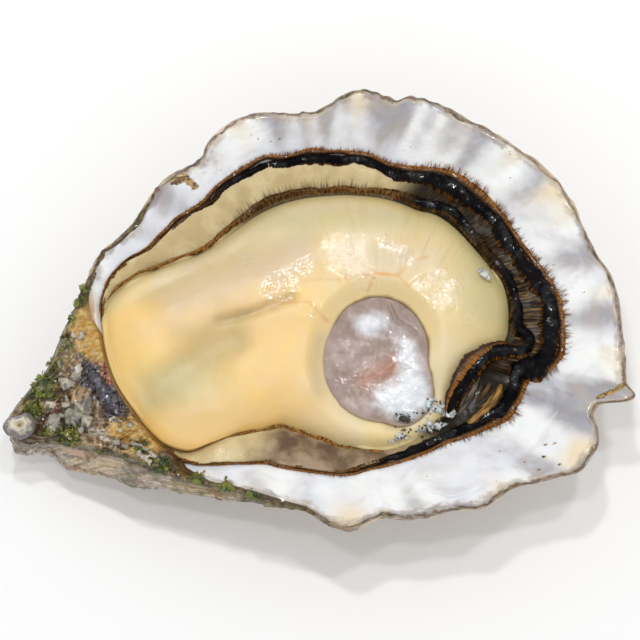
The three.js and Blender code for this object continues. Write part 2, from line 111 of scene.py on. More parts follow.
rim_radius = outline([
    (49.4, 4.4), (46.2, 9.3), (41.1, 19.5), (25, 31.5), (16, 35.4), (13.1, 34.6), (7.3, 36.1),
    (-1, 32.5), (-14.1, 31.1), (-18, 28), (-20.1, 24.5), (-27.2, 19.7), (-30.3, 15),
    (-33.7, 11.1), (-36.5, 9), (-39.6, 3), (-45.6, -9.6), (-51.4, -16.8), (-52.8, -19.9),
    (-51.2, -22.8), (-44, -22.9), (-30.3, -26.7), (-9.9, -33), (-3.1, -34.7), (5.4, -38.2),
    (10.3, -36.2), (14.8, -36.6), (22.4, -35), (27.5, -34.6), (30.9, -32.1), (39.4, -29.6),
    (43.7, -28.3), (45.9, -25.2), (46.6, -21.7), (45.7, -19), (46.6, -17.6), (52.8, -16.1),
    (51.2, -13.8),
])
hinge_edge = outline([
    (-38, 2.8), (-37.6, -1.5), (-36.4, -8), (-34.5, -13.2), (-31.5, -18.3), (-27.6, -23.8),
    (-23, -27.8), (60, 0), (30, 50), (-30, 50), (-10, -60),
])
margin_radius = outline([
    (40.4, 1.4), (38.6, 4.4), (35.2, 9), (24.1, 21.6), (12.2, 24.7), (7.1, 26.4), (2, 26.4),
    (-4.8, 25.7), (-9.9, 25), (-18.4, 18.5), (-23.5, 15), (-28.6, 10), (-33.7, 6.8),
    (-36.9, 0.5), (-33.4, -13.1), (-30.3, -17.7), (-26.6, -23.3), (-22.7, -26.4),
    (-15, -26.9), (-8.2, -27), (-1.4, -28.2), (4.6, -28.7), (8.8, -27.5), (19, -23.8),
    (29.2, -19.4), (32.6, -17), (34.8, -12.2), (38.6, -10.7), (40.4, -8.5),
])
hinge_share = by_angle([
    (150, 0), (172, 0.15), (182, 1), (222, 1), (233, 0.3), (250, 0), (0, 0),
])
rim_base = by_angle([
    (0, 23), (45, 23.2), (90, 23.6), (135, 22.4), (160, 21), (172, 20), (184, 17.5), (196, 14),
    (203, 12.6), (210, 15.5), (222, 18.6), (240, 20.8), (265, 22.4), (300, 23), (335, 22.4),
])
LIP = 1.0
FLOOR = 3.2
HINGE_EDGE_HEIGHT = 17.2
# Folds that run out to the lobes of the rim: where (degrees), half width, height.
FOLDS = [
    (82, 7, 1.5), (115, 9, 1.1), (141, 6, 0.8), (59, 6, 0.7), (45, 6, 1.0), (24, 8, 1.3),
    (-13, 8, 1.2), (-31, 6, 1.4), (-54, 8, 1.2), (-85, 7, 1.3), (-104, 6, 0.6),
]
# The ligament's groove over the hinge plate, from its mouth to the beak.
BEAK = np.array([-50.4, -19.6])
GROOVE_MOUTH = np.array([-32.4, -13.6])
GROOVE_DEPTH = 1.9
GROOVE_RIDGE = 0.9


def on_plan(angle, radius):
    """Polar to x and y, both in millimetres, with the hub as the pole."""
    return HUB[0] + radius * np.cos(angle), HUB[1] + radius * np.sin(angle)


def to_polar(x, y):
    """The way back, from x and y to an angle and a radius."""
    return np.arctan2(y - HUB[1], x - HUB[0]), np.hypot(x - HUB[0], y - HUB[1])


def bumps_by_angle(angle, bumps):
    """A sum of soft bumps round the hub, each (degrees, half width, height)."""
    total = np.zeros_like(np.asarray(angle, float))
    for at, width, height in bumps:
        off = np.mod(np.degrees(angle) - at + 540, 360) - 180
        total = total + height * np.exp(-((off / width) ** 2))
    return total


def fold_height(angle):
    """How far the folds lift the lip."""
    return (bumps_by_angle(angle, FOLDS) - 0.6) * (1 - hinge_share(angle))


def cavity_radius(angle):
    """Where the lining's bowl meets the lip or the hinge."""
    return np.minimum(rim_radius(angle) - LIP, hinge_edge(angle))


def groove_relief(x, y):
    """The ligament's groove, and the ridge on each side of it."""
    along = BEAK - GROOVE_MOUTH
    length = np.hypot(*along)
    dx, dy = x - GROOVE_MOUTH[0], y - GROOVE_MOUTH[1]
    s = np.clip((dx * along[0] + dy * along[1]) / length**2, 0, 1)
    across = np.abs(dx * along[1] - dy * along[0]) / length
    half = lerp(4.6, 1.2, s)
    groove = np.exp(-((across / half) ** 4))
    ridge = np.exp(-(((across - 1.7 * half) / (0.5 * half)) ** 2))
    return (GROOVE_RIDGE * ridge - GROOVE_DEPTH * groove) * (1 - 0.6 * s)


def cup_height(angle, radius):
    """Height of the shell's inside."""
    share = hinge_share(angle)
    cavity = cavity_radius(angle)
    edge = lerp(rim_base(angle), HINGE_EDGE_HEIGHT, share)
    u = np.minimum(radius / cavity, 1)
    bowl = 0.5 * u**2 + 0.5 * np.sin(math.pi / 2 * u**2)
    cup = FLOOR + (edge - FLOOR) * lerp(bowl, u**4, 0.8 * share)
    cup = cup + fold_height(angle) * smoothstep(u, 0.7, 1)
    v = np.clip((radius - cavity) / (rim_radius(angle) - cavity), 0, 1.2)
    plate = lerp(cup, rim_base(angle) + fold_height(angle), v)
    plate = plate + share * groove_relief(*on_plan(angle, radius))
    return np.where(radius < cavity, cup, plate)


def cup_height_at(x, y):
    return cup_height(*to_polar(x, y))


def grain(x, y, size, seed):
    """Smooth seeded noise, about -1 to 1, with features of one size."""
    lattice = np.random.default_rng(seed).uniform(-1, 1, (128, 128))
    u, v = x / size, y / size
    i, j = np.floor(u).astype(int), np.floor(v).astype(int)
    s, t = u - i, v - j
    s, t = s * s * (3 - 2 * s), t * t * (3 - 2 * t)

    def at(a, b):
        return lattice[np.mod(a, 128), np.mod(b, 128)]

    low = lerp(at(i, j), at(i + 1, j), s)
    high = lerp(at(i, j + 1), at(i + 1, j + 1), s)
    return lerp(low, high, t)


def rough(x, y, size, seed, octaves=3):
    """Several sizes of grain, each half as coarse and half as strong as the last."""
    return sum(grain(x, y, size / 2**k, seed + k) / 2**k for k in range(octaves))


def spokes_round(radius_by_angle, count):
    """Angles spread evenly along a closed outline."""
    fine = np.linspace(0, TURN, 7201)
    x, y = on_plan(fine, radius_by_angle(fine))
    length = np.concatenate([[0], np.cumsum(np.hypot(np.diff(x), np.diff(y)))])
    return np.interp(np.arange(count) / count * length[-1], length, fine)


def weld(place, triangles):
    """Joins points in one place: which points stay, and the triangles that still have an area."""
    _, first, shared = np.unique(
        np.round(place * 1e8).astype(np.int64), axis=0, return_index=True, return_inverse=True,
    )
    triangles = shared.reshape(-1)[triangles]
    whole = (
        (triangles[:, 0] != triangles[:, 1])
        & (triangles[:, 1] != triangles[:, 2])
        & (triangles[:, 2] != triangles[:, 0])
    )
    return first, triangles[whole]


def as_piece(name, place, faces):
    """A smooth-shaded object from points in metres and their faces."""
    mesh = bpy.data.meshes.new(name)
    mesh.from_pydata(place.tolist(), [], faces)
    mesh.polygons.foreach_set("use_smooth", [True] * len(mesh.polygons))
    mesh.validate()
    mesh.update()
    piece = bpy.data.objects.new(name, mesh)
    bpy.context.scene.collection.objects.link(piece)
    return piece


def skin(name, points, fields=None, around=True, looped=False):
    """Meshes a grid of points in millimetres, indexed [station, point of the section, xyz].

    Sections go from the top over the outside to the underside, and round the hub anticlockwise.
    Open rows of sections get a cap at each end. Fields become attributes that a finish can read.
    """
    stations, across = points.shape[:2]
    place = (points.reshape(-1, 3) + OWN_TO_FRAME) * 0.001
    last_station = stations if around else stations - 1
    last_point = across if looped else across - 1
    i, j = np.meshgrid(np.arange(last_station), np.arange(last_point), indexing="ij")
    i, j = i.ravel(), j.ravel()
    i2, j2 = (i + 1) % stations, (j + 1) % across
    a, b, c, d = i * across + j, i * across + j2, i2 * across + j2, i2 * across + j
    triangles = [np.stack([a, b, c], 1), np.stack([a, c, d], 1)]
    if not around:
        k = np.arange(1, across - 1)
        end = (stations - 1) * across
        triangles.append(np.stack([0 * k, k + 1, k], 1))
        triangles.append(np.stack([0 * k + end, k + end, k + 1 + end], 1))
    first, triangles = weld(place, np.concatenate(triangles))
    piece = as_piece(name, place[first], triangles.tolist())
    for field, values in (fields or {}).items():
        data = piece.data.attributes.new(field, "FLOAT", "POINT").data
        spread = np.broadcast_to(values, (stations, across)).reshape(-1)
        data.foreach_set("value", spread[first].astype(np.float32))
    return piece


def fit(piece, finish, slot, *nodes):
    """Puts a piece on the body, with its finish, in place of its CAD nodes."""
    piece.data.materials.append(finish.material)
    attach(piece, "root")
    if nodes:
        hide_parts(*nodes)


NOISE_ROUGHNESS = 0.55


class Finish:
    """A procedural material, built up from its base shader."""

    def __init__(self, name, **settings):
        self.material = bpy.data.materials.new(name)
        self.material.use_nodes = True
        self.tree = self.material.node_tree
        self.shader = self.tree.nodes["Principled BSDF"]
        self.place = self.node("ShaderNodeTexCoord").outputs["Object"]
        for socket, value in settings.items():
            self.shader.inputs[socket.replace("_", " ")].default_value = value

    def node(self, kind, **settings):
        node = self.tree.nodes.new(kind)
        for key, value in settings.items():
            setattr(node, key, value)
        return node

    def set(self, socket, source):
        """Gives a socket a value or another node's output."""
        if isinstance(source, bpy.types.NodeSocket):
            self.tree.links.new(source, socket)
        else:
            socket.default_value = source

    def field(self, name):
        """A value that the mesh carries at each of its points."""
        return self.node("ShaderNodeAttribute", attribute_name=name).outputs["Fac"]

    def noise(self, size_mm, detail=3.0, distortion=0.0, vector=None):
        """Noise from 0 to 1, mostly near a half, with features of a size in millimetres."""
        node = self.node("ShaderNodeTexNoise")
        node.inputs["Scale"].default_value = 1000 / size_mm if vector is None else 1 / size_mm
        node.inputs["Detail"].default_value = detail
        node.inputs["Roughness"].default_value = NOISE_ROUGHNESS
        node.inputs["Distortion"].default_value = distortion
        self.set(node.inputs["Vector"], vector or self.place)
        return node.outputs["Fac"]

    def vector(self, x, y):
        node = self.node("ShaderNodeCombineXYZ")
        for socket, source in zip(node.inputs, (x, y)):
            self.set(socket, source)
        return node.outputs[0]

    def reckon(self, operation, a, b):
        node = self.node("ShaderNodeMath", operation=operation)
        self.set(node.inputs[0], a)
        self.set(node.inputs[1], b)
        return node.outputs[0]

    def sum(self, a, b):
        return self.reckon("ADD", a, b)

    def less(self, a, b):
        return self.reckon("SUBTRACT", a, b)

    def times(self, a, b):
        return self.reckon("MULTIPLY", a, b)

    def centred(self, noise):
        """The same noise, from about -0.5 to 0.5."""
        return self.less(noise, 0.5)

    def beads(self, wet):
        """The height of small beads of liquid in the wet patches."""
        return self.times(self.centred(self.noise(0.8, detail=1.0)), wet)

    def band(self, source, low, high, to_low=0.0, to_high=1.0):
        """Fades from one level to another as the source goes from low to high."""
        node = self.node("ShaderNodeMapRange", interpolation_type="SMOOTHSTEP")
        node.inputs["From Min"].default_value = low
        node.inputs["From Max"].default_value = high
        node.inputs["To Min"].default_value = to_low
        node.inputs["To Max"].default_value = to_high
        self.set(node.inputs["Value"], source)
        return node.outputs["Result"]

    def mix(self, share, a, b):
        """The first colour where the share is 0, to the second where it is 1."""
        node = self.node("ShaderNodeMix", data_type="RGBA")
        self.set(node.inputs[0], share)
        for socket, source in ((node.inputs[6], a), (node.inputs[7], b)):
            self.set(socket, (*source, 1.0) if isinstance(source, tuple) else source)
        return node.outputs[2]

    def colour(self, source):
        self.set(self.shader.inputs["Base Color"], source)

    def bump(self, *layers, film=False):
        """Layers of (height, depth in millimetres), each over the one before.

        On a wet piece the film of liquid follows them too.
        """
        normal = None
        for height, depth in layers:
            node = self.node("ShaderNodeBump")
            node.inputs["Strength"].default_value = 1.0
            node.inputs["Distance"].default_value = depth * 0.001
            self.set(node.inputs["Height"], height)
            if normal is not None:
                self.set(node.inputs["Normal"], normal)
            normal = node.outputs["Normal"]
        self.set(self.shader.inputs["Normal"], normal)
        if film:
            self.set(self.shader.inputs["Coat Normal"], normal)


# Hollows along the lip that get painted shade, and cream crests: where (degrees), half width,
# strength.
GREY_HOLLOWS = [
    (158, 6, 0.5), (147, 5, 0.8), (128, 6, 0.35), (107, 4, 0.8), (98, 3, 0.4), (91, 3, 0.8),
    (74, 5.5, 1.15), (62, 2.5, 0.6), (55, 4, 0.5), (47, 4, 0.9), (31, 4, 0.8), (11, 4, 0.9),
    (-3, 4, 0.9), (-24, 4.5, 1.7), (-39, 4, 0.8), (-57, 5, 0.4), (-68, 4, 0.5), (-98, 5, 0.5),
    (-112, 6, 0.4), (-18, 1.5, 1.2), (85, 2, 0.4), (68, 2, 0.7),
]
CREAM_CRESTS = [
    (117, 5, 0.7), (82, 3.5, 1.0), (39, 3, 0.8), (22, 5, 1.0), (2, 2, 0.7), (-12, 3.5, 1.0),
    (-32, 3.5, 1.7), (-48, 3, 0.6), (-85, 6, 0.9), (-62, 3, 0.3), (27, 3, 0.9), (96, 2, 0.4),
]
LINING_THICKNESS = 0.8
LINING_SPOKES = 660
LINING_RINGS = 92


def ragged_rim(angle, inset):
    """The rim with the small nicks and lobes of a growing edge."""
    r = rim_radius(angle)
    arc = angle * 40
    nicks = 0.3 * grain(arc, 0 * arc, 3.1, 11) + 0.22 * grain(arc, 0 * arc, 1.2, 12)
    return r - inset + nicks * (1 - 0.5 * hinge_share(angle))


def lining_relief(angle, radius):
    """Swells, growth lines and small folds of the lining, with its crescents and its blister."""
    x, y = on_plan(angle, radius)
    edge = rim_radius(angle) - radius
    near = 1 - smoothstep(edge, 0, 9)
    growth = np.sin(TURN * (edge + 1.6 * grain(x, y, 6, 21)) / 1.7)
    small_folds = grain(angle * 40, edge * 0.25, 2.6, 22)
    relief = 0.3 * grain(x, y, 8, 23) + 0.12 * grain(x, y, 3, 24)
    growth_share = near * (0.3 + 0.7 * grain(x, y, 9, 27))
    relief = relief + 0.035 * growth_share * growth + 0.3 * near * small_folds
    # Raised crescents of newer shell near the front, and a blister beside them.
    for cx, cy, reach, sweep, height in ((22, -26.5, 6.4, 0.62, 0.55), (25, -28, 6.6, 0.5, 0.45),
                                         (17.5, -27.5, 7.2, 0.4, 0.35)):
        turn = np.arctan2(y - cy, x - cx) + math.pi / 2
        off = np.hypot(x - cx, y - cy) - reach - 0.35 * grain(x, y, 2, 25)
        ledge = smoothstep(off, -1.6, 0) * (1 - smoothstep(off, 0, 0.25))
        relief = relief + height * ledge * np.exp(-((turn / sweep) ** 4))
    blister = np.exp(-((np.hypot((x - 28.4) / 1.5, (y + 27.6) / 2.1)) ** 4))
    return relief + 0.5 * blister * (1 + 0.3 * grain(x, y, 0.9, 26))


def near_route(x, y, route, half_width):
    """1 on a route of straight stretches, fading over its half width."""
    nearest = np.full(np.shape(x), 1e9)
    for (x0, y0), (x1, y1) in zip(route[:-1], route[1:]):
        ax, ay = x1 - x0, y1 - y0
        s = np.clip(((x - x0) * ax + (y - y0) * ay) / (ax * ax + ay * ay), 0, 1)
        nearest = np.minimum(nearest, np.hypot(x - x0 - s * ax, y - y0 - s * ay))
    return np.exp(-((nearest / half_width) ** 2))


def lining_points():
    """The lining, from the hub out to the lip and back along its underside."""
    spokes = spokes_round(rim_radius, LINING_SPOKES)[:, None]
    edge = ragged_rim(spokes, 0.32)
    start = margin_radius(spokes) - 3
    t = np.linspace(0, 1, LINING_RINGS)[None, :]
    hidden = np.array([0, 0.2, 0.4, 0.55, 0.7, 0.82, 0.92])[None, :] * start
    shown = lerp(start, edge, 1 - (1 - t) ** 1.25)
    radii = np.concatenate([hidden, shown], 1)
    height = cup_height(spokes, radii) + lining_relief(spokes, radii)
    to_edge = edge - radii
    height = height - 0.35 * np.exp(-to_edge / 0.35)
    under = np.concatenate([edge - 0.12, lerp(edge, 0, np.array([[0.03, 0.3, 0.6, 1.0]]))], 1)
    under_height = cup_height(spokes, under) - LINING_THICKNESS
    all_radii = np.concatenate([radii, under], 1)
    x, y = on_plan(spokes, all_radii)
    z = np.concatenate([height, under_height], 1)
    return spokes, all_radii, np.stack([x, y, z], 2)


def chips_at(x, y):
    """Where the lining is chipped or stained brown: two chips by the rim, and single specks."""
    chips = near_route(x, y, [(-24.6, 20.6), (-22.4, 21.4), (-21.0, 20.2)], 0.9)
    chips = chips + near_route(x, y, [(46.8, -16.2), (49.4, -15.1), (51.4, -14.0)], 0.6)
    for a, b in ((37.9, -24.0), (39.4, -23.8), (37.5, -26.1), (40.1, -27.5), (36.5, -28.4)):
        chips = chips + near_route(x, y, [(a, b), (a + 0.3, b + 0.1)], 0.28)
    return chips


angles, radii, points = lining_points()
lip_distance = rim_radius(angles) - radii
streaks_in = 1 + 0.22 * grain(angles * 40, lip_distance * 0.3, 2.2, 28)
hollow_reach = by_angle([
    (-40, 8), (-24, 11), (-10, 9), (20, 9), (50, 8), (75, 6.2), (110, 7), (180, 6), (270, 6.5),
])
CREST_REACH = 4.6
SHADOW_REACH = 13


def near_lip(reach):
    """1 at the lip, fading inwards over a reach that varies in streaks."""
    return np.exp(-((lip_distance / (reach * streaks_in)) ** 2))


lining = skin("shell_lining", points, {
    "hollow": bumps_by_angle(angles, GREY_HOLLOWS) * near_lip(hollow_reach(angles)),
    "crest": bumps_by_angle(angles, CREAM_CRESTS) * near_lip(CREST_REACH),
    "shadow": bumps_by_angle(angles, GREY_HOLLOWS) * near_lip(SHADOW_REACH),
    "lip_distance": lip_distance,
    "chip": chips_at(*on_plan(angles, radii)),
    "at_hinge": hinge_share(angles) * smoothstep(radii - hinge_edge(angles), -0.6, 0.6),
})

pearl = Finish("pearly_lining", Roughness=0.3, Coat_Weight=0.8, Coat_Roughness=0.08,
               Subsurface_Weight=0.15, Subsurface_Scale=0.0015)
cloudy = pearl.noise(7.0, detail=3, distortion=0.6)
soft = pearl.noise(16.0, detail=3)
lilac = pearl.mix(pearl.band(soft, 0.40, 0.62), (0.96, 0.96, 0.95), (0.82, 0.83, 0.88))
white = pearl.mix(pearl.band(cloudy, 0.5, 0.7, 0.0, 0.45), lilac, (0.64, 0.62, 0.63))
# Painted shade that reaches a long way in from the lip, below each hollow.
white = pearl.mix(pearl.band(pearl.field("shadow"), 0.1, 1.3, 0.0, 0.42), white, (0.58, 0.59, 0.66))
patchy = pearl.band(cloudy, 0.3, 0.7, 0.6, 1.5)
# Painted shade in the hollows between the folds, darkest at the lip.
hollow = pearl.band(pearl.times(pearl.field("hollow"), patchy), 0.05, 0.85)
shade = pearl.mix(pearl.band(cloudy, 0.4, 0.62), (0.33, 0.32, 0.36), (0.43, 0.39, 0.37))
inside = pearl.mix(pearl.times(hollow, 0.92), white, shade)
crest = pearl.times(pearl.field("crest"), pearl.band(soft, 0.35, 0.65, 0.8, 1.3))
inside = pearl.mix(pearl.band(crest, 0.0, 1.25, 0.0, 0.85), inside, (0.86, 0.70, 0.44))
ragged = pearl.noise(2.2, detail=4)
lip_line = pearl.less(pearl.field("lip_distance"), pearl.times(ragged, 3.4))
lip_tone = pearl.mix(pearl.band(pearl.noise(5.0), 0.42, 0.6), (0.26, 0.22, 0.20), (0.46, 0.38, 0.27))
inside = pearl.mix(pearl.band(lip_line, 0.1, -1.0, 0.0, 0.75), inside, lip_tone)
rust_line = pearl.less(pearl.field("lip_distance"), pearl.times(pearl.noise(1.1), 2.4))
rust = pearl.band(rust_line, -0.6, -1.05)
inside = pearl.mix(pearl.times(rust, 0.8), inside, (0.13, 0.065, 0.025))
specks = pearl.times(pearl.band(pearl.noise(0.9, detail=2), 0.69, 0.74),
                     pearl.band(pearl.noise(9.0), 0.52, 0.62))
inside = pearl.mix(specks, inside, (0.24, 0.13, 0.04))
chip_edge = pearl.sum(pearl.field("chip"), pearl.times(pearl.noise(0.9, detail=3), 1.1))
chip_tone = pearl.mix(pearl.band(pearl.noise(0.7), 0.4, 0.6), (0.10, 0.05, 0.012), (0.50, 0.33, 0.10))
inside = pearl.mix(pearl.band(chip_edge, 1.0, 1.25), inside, chip_tone)
inside = pearl.mix(pearl.times(pearl.field("at_hinge"), 0.9), inside, (0.46, 0.27, 0.09))
pearl.colour(inside)
pearl.bump((pearl.noise(3.0, detail=3), 0.3), (pearl.noise(0.35, detail=2), 0.02))
fit(lining, pearl, "shell", "shell")

# ---- The outer shell ---------------------------------------------------------------------------
# The outside of the valve: chalky growth layers that shingle away from the beak, each ending in
# a thin flaking edge. They are grey-beige and brown-purple, and stained green by weed.

outer_bulge = by_angle([
    (194, 0.2), (201, 0.3), (206, 2.2), (211, 4.8), (218, 4.2), (230, 2.2), (245, 1.1), (262, 0.3),
    (0, 0.2), (90, 0.2), (180, 0.3),
])
side_thickness = by_angle([
    (165, 1.3), (185, 3), (200, 5.5), (211, 8), (222, 6), (240, 3.4), (262, 1.8), (290, 1.3),
    (0, 1.3), (90, 1.3),
])
FLAT_SPOT = (13.0, 10.0)
BELLY_CURVE = 1.22
SHELL_LAYERS = 26
OUTER_SPOKES = 640
RINGS_DOWN_SIDE = 26
RINGS_UNDER = 92


def growth_share(x, y):
    """0 at the beak to 1 at the rim: the outline that the shell had when this spot was its edge."""
    beak = np.array([-50.6, -20.2])
    fine = np.linspace(0, TURN, 3601)
    rx, ry = on_plan(fine, rim_radius(fine) + 0.3)
    turn = np.mod(np.arctan2(ry - beak[1], rx - beak[0]) + math.pi * 0.75, TURN)
    order = np.argsort(turn)
    reach = np.interp(
        np.mod(np.arctan2(y - beak[1], x - beak[0]) + math.pi * 0.75, TURN),
        turn[order], np.hypot(rx - beak[0], ry - beak[1])[order],
    )
    return np.hypot(x - beak[0], y - beak[1]) / np.maximum(reach, 3)


def grid_normals(points):
    """Which way is out, at each point of a closed grid."""
    along = np.roll(points, -1, 0) - np.roll(points, 1, 0)
    down = np.gradient(points, axis=1)
    normal = np.cross(down, along)
    return normal / np.maximum(np.linalg.norm(normal, axis=2, keepdims=True), 1e-9)


def layer_relief(points):
    """Height of the shingled layers off the smooth outside, and how far along its layer a spot is."""
    x, y, z = points[..., 0], points[..., 1], points[..., 2]
    age = growth_share(x, y)
    wander = 0.9 * rough(x, y, 13, 31) + 0.25 * rough(x + z, y, 3, 32)
    phase = age**1.15 * SHELL_LAYERS - z * 0.25 + wander
    layer = np.floor(phase)
    through = phase - layer
    strength = 0.35 + 0.65 * smoothstep(grain(layer * 7.3, np.arctan2(y + 20, x + 51) * 9, 1.0, 33),
                                        -0.5, 0.6)
    shingle = 1.0 * (through**2.2 - 0.4) * strength * (0.35 + 0.85 * np.clip(age, 0, 1))
    ribs = 0.35 * grain(np.arctan2(y + 20.2, x + 50.6) * 13, age * 3 + z * 0.2, 1.0, 34) * age
    knobbly = 0.45 * rough(x + 0.7 * z, y - 0.7 * z, 3.2, 37, 4)
    grit = 0.1 * rough(x + 0.5 * z, y - 0.5 * z, 0.9, 35) + knobbly
    return shingle + ribs + grit, through, age, np.arctan2(y + 20.2, x + 50.6)


def outer_points():
    """The outside, from under the lining over the lip and down the side to the worn flat spot."""
    spokes = spokes_round(rim_radius, OUTER_SPOKES)[:, None]
    rim = ragged_rim(spokes, 0.0)
    top_z = cup_height(spokes, rim_radius(spokes))
    inner = rim - np.array([[6.0, 3.0, 1.4, 0.9]])
    inner_z = cup_height(spokes, inner) - 0.55
    lip = np.concatenate([rim - 0.3, rim - 0.1, rim], 1)
    lip_z = top_z + np.array([[-0.42, -0.25, -0.45]]) + 0.2 * grain(spokes * 40, 0 * lip, 2.0, 36)
    reach = rim_radius(spokes) + outer_bulge(spokes)
    side_z = rim_base(spokes) + fold_height(spokes) - side_thickness(spokes)
    side_t = np.linspace(0.04, 1, RINGS_DOWN_SIDE)[None, :]
    side = lerp(rim, reach, np.sin(side_t * math.pi / 2))
    side_height = lerp(lip_z[:, 2:], side_z, side_t)
    flat = 1 / np.hypot(np.cos(spokes) / FLAT_SPOT[0], np.sin(spokes) / FLAT_SPOT[1]) / reach
    w = lerp(1.0, flat, np.linspace(0, 1, RINGS_UNDER + 1)[None, 1:])
    belly = side_z * np.clip((w - flat) / (1 - flat), 0, 1) ** BELLY_CURVE
    under = w * reach
    spot = flat * reach * np.array([[0.8, 0.55, 0.3, 0.0]])
    hidden = np.concatenate([0 * rim, rim * 0.4, rim * 0.7], 1)
    hidden_z = cup_height(spokes, hidden) - 0.6
    radii = np.concatenate([hidden, inner, lip, side, under, spot], 1)
    z = np.concatenate([hidden_z, inner_z, lip_z, side_height, belly, 0 * spot], 1)
    x, y = on_plan(spokes, radii)
    points = np.stack([x, y, z], 2)
    first_outside = hidden.shape[1] + inner.shape[1] + lip.shape[1]
    relief, through, age, ray = layer_relief(points)
    # The relief grows from nothing at the lip to half on the side wall, and to whole below it.
    share = np.zeros(radii.shape[1])
    share[first_outside:] = 1
    share[first_outside:first_outside + 46] = np.concatenate(
        [np.linspace(0.08, 0.5, 12), np.full(14, 0.5), np.linspace(0.5, 1.0, 20)])
    lip_share = np.zeros(radii.shape[1])
    lip_share[hidden.shape[1]:first_outside] = 1
    lip_share[first_outside:] = np.exp(-np.arange(radii.shape[1] - first_outside) / 3.0)
    beside_beak = np.exp(-(((np.degrees(spokes) % 360 - 218) / 34) ** 4))
    fade = smoothstep(z, 0.0, 2.5) * share[None, :] * (0.6 + 0.4 * beside_beak)
    # The belly's own thickness limits how deep a step can cut.
    depth = np.clip(relief, -0.9, 1.2) * fade
    points = points + grid_normals(points) * depth[..., None]
    points[..., 2] = np.maximum(points[..., 2], 0.0)
    return points, through, age, ray, lip_share[None, :] * np.ones_like(age)


points, through, age, ray, lip = outer_points()
outer = skin("shell_outside", points, {"through": through, "age": age, "ray": ray, "lip": lip})

chalk = Finish("chalky_layers", Roughness=0.55, Coat_Weight=0.45, Coat_Roughness=0.2)
layered = chalk.noise(1.0, detail=5, distortion=0.4, vector=chalk.vector(
    chalk.times(chalk.field("age"), 17.0), chalk.times(chalk.field("ray"), 4.5)))
rays = chalk.noise(1.0, detail=4, distortion=0.5, vector=chalk.vector(
    chalk.times(chalk.field("ray"), 9.0), chalk.times(chalk.field("age"), 2.0)))
fine = chalk.noise(1.4, detail=4)
base = chalk.mix(chalk.band(layered, 0.38, 0.62), (0.36, 0.25, 0.13), (0.80, 0.62, 0.40))
rosy = chalk.band(chalk.noise(5.0, detail=4), 0.52, 0.62)
base = chalk.mix(chalk.times(rosy, 0.7), base, (0.74, 0.46, 0.32))
ashen = chalk.band(chalk.noise(6.5, detail=4, distortion=0.8), 0.48, 0.58)
ash = chalk.mix(chalk.band(fine, 0.4, 0.6), (0.19, 0.175, 0.165), (0.50, 0.48, 0.44))
base = chalk.mix(chalk.times(ashen, 0.55), base, ash)
white = chalk.band(chalk.sum(layered, chalk.times(fine, 0.3)), 0.72, 0.80)
base = chalk.mix(chalk.times(white, 0.85), base, (0.86, 0.83, 0.76))
base = chalk.mix(chalk.band(rays, 0.56, 0.66, 0.0, 0.8), base, (0.16, 0.13, 0.15))
edges = chalk.band(chalk.sum(chalk.field("through"), chalk.times(fine, 0.5)), 0.95, 1.3)
base = chalk.mix(chalk.times(edges, 0.6), base, (0.66, 0.62, 0.54))
# Painted shade in the creases under each layer's edge, broken in places.
crease_shade = chalk.band(chalk.sum(chalk.field("through"), chalk.times(fine, 0.4)), 0.36, 0.16)
broken = chalk.band(chalk.noise(3.0, detail=3), 0.42, 0.58, 0.15, 0.85)
base = chalk.mix(chalk.times(crease_shade, broken), base, (0.075, 0.05, 0.028))
weed = chalk.times(chalk.band(chalk.noise(7.0, detail=5, distortion=0.5), 0.5, 0.6),
                   chalk.band(chalk.field("age"), 1.1, 0.5, 0.45, 1.0))
weed_tone = chalk.mix(chalk.band(fine, 0.4, 0.6), (0.045, 0.05, 0.008), (0.16, 0.15, 0.025))
base = chalk.mix(weed, base, weed_tone)
rust_stain = chalk.band(chalk.noise(3.6, detail=5), 0.58, 0.66)
base = chalk.mix(chalk.times(rust_stain, 0.7), base, (0.24, 0.12, 0.035))
worn = chalk.band(chalk.noise(2.4, detail=4), 0.36, 0.58, 0.5, 1.0)
lip_brown = chalk.mix(chalk.band(fine, 0.42, 0.6), (0.05, 0.03, 0.02), (0.25, 0.17, 0.10))
base = chalk.mix(chalk.times(chalk.times(chalk.field("lip"), worn), 0.85), base, lip_brown)
chalk.colour(base)
chalk.bump((fine, 0.5), (chalk.noise(0.4, detail=4), 0.15))
fit(outer, chalk, "crust", "shell")

# ---- The body ----------------------------------------------------------------------------------
# The plump soft body of the animal, cream with glycogen, over grey-green digestive gland that
# shows through along its furrows, with painted shade there as well. It has a socket right through
# it, where the muscle stands.

body_radius = outline([
    (32.4, 1.4), (26.7, 10.7), (20.7, 16.2), (16.5, 17.5), (0.3, 19.7), (-13.3, 14.3),
    (-17.6, 11), (-21.8, 8.7), (-35.3, 1.2), (-36.5, -2.4), (-36.0, -6.5), (-34.2, -12.3),
    (-31.0, -17.4), (-26.6, -22.6), (-22, -24.4), (-17.6, -23), (-13.3, -21.4), (-9.6, -20.6),
    (-5.7, -19.9), (-3.1, -20.7), (5.4, -23.5), (13.1, -23.8), (19.3, -20.4), (22, -17.4),
    (23, -14), (25, -11), (28, -8.6), (31.2, -6.6), (32.4, -3.5),
])
body_edge_height = by_angle([
    (0, 14.4), (45, 14.8), (90, 14.9), (135, 15), (165, 16), (180, 16.6), (215, 16.8),
    (228, 17), (240, 15.4), (262, 14.6), (300, 14.6), (340, 14.6),
])
muscle_radius = by_angle([
    (0, 8.4), (35, 9.6), (60, 10.6), (90, 11.3), (120, 10.7), (150, 9.6), (180, 9.2),
    (210, 9.4), (240, 9.6), (270, 9.9), (300, 11.6), (325, 11), (345, 9.2),
])
MUSCLE_AT = np.array([10.2, -9.6])
CROWN = 18.3
SHOULDER = 9
SOCKET_SINK = 1.3
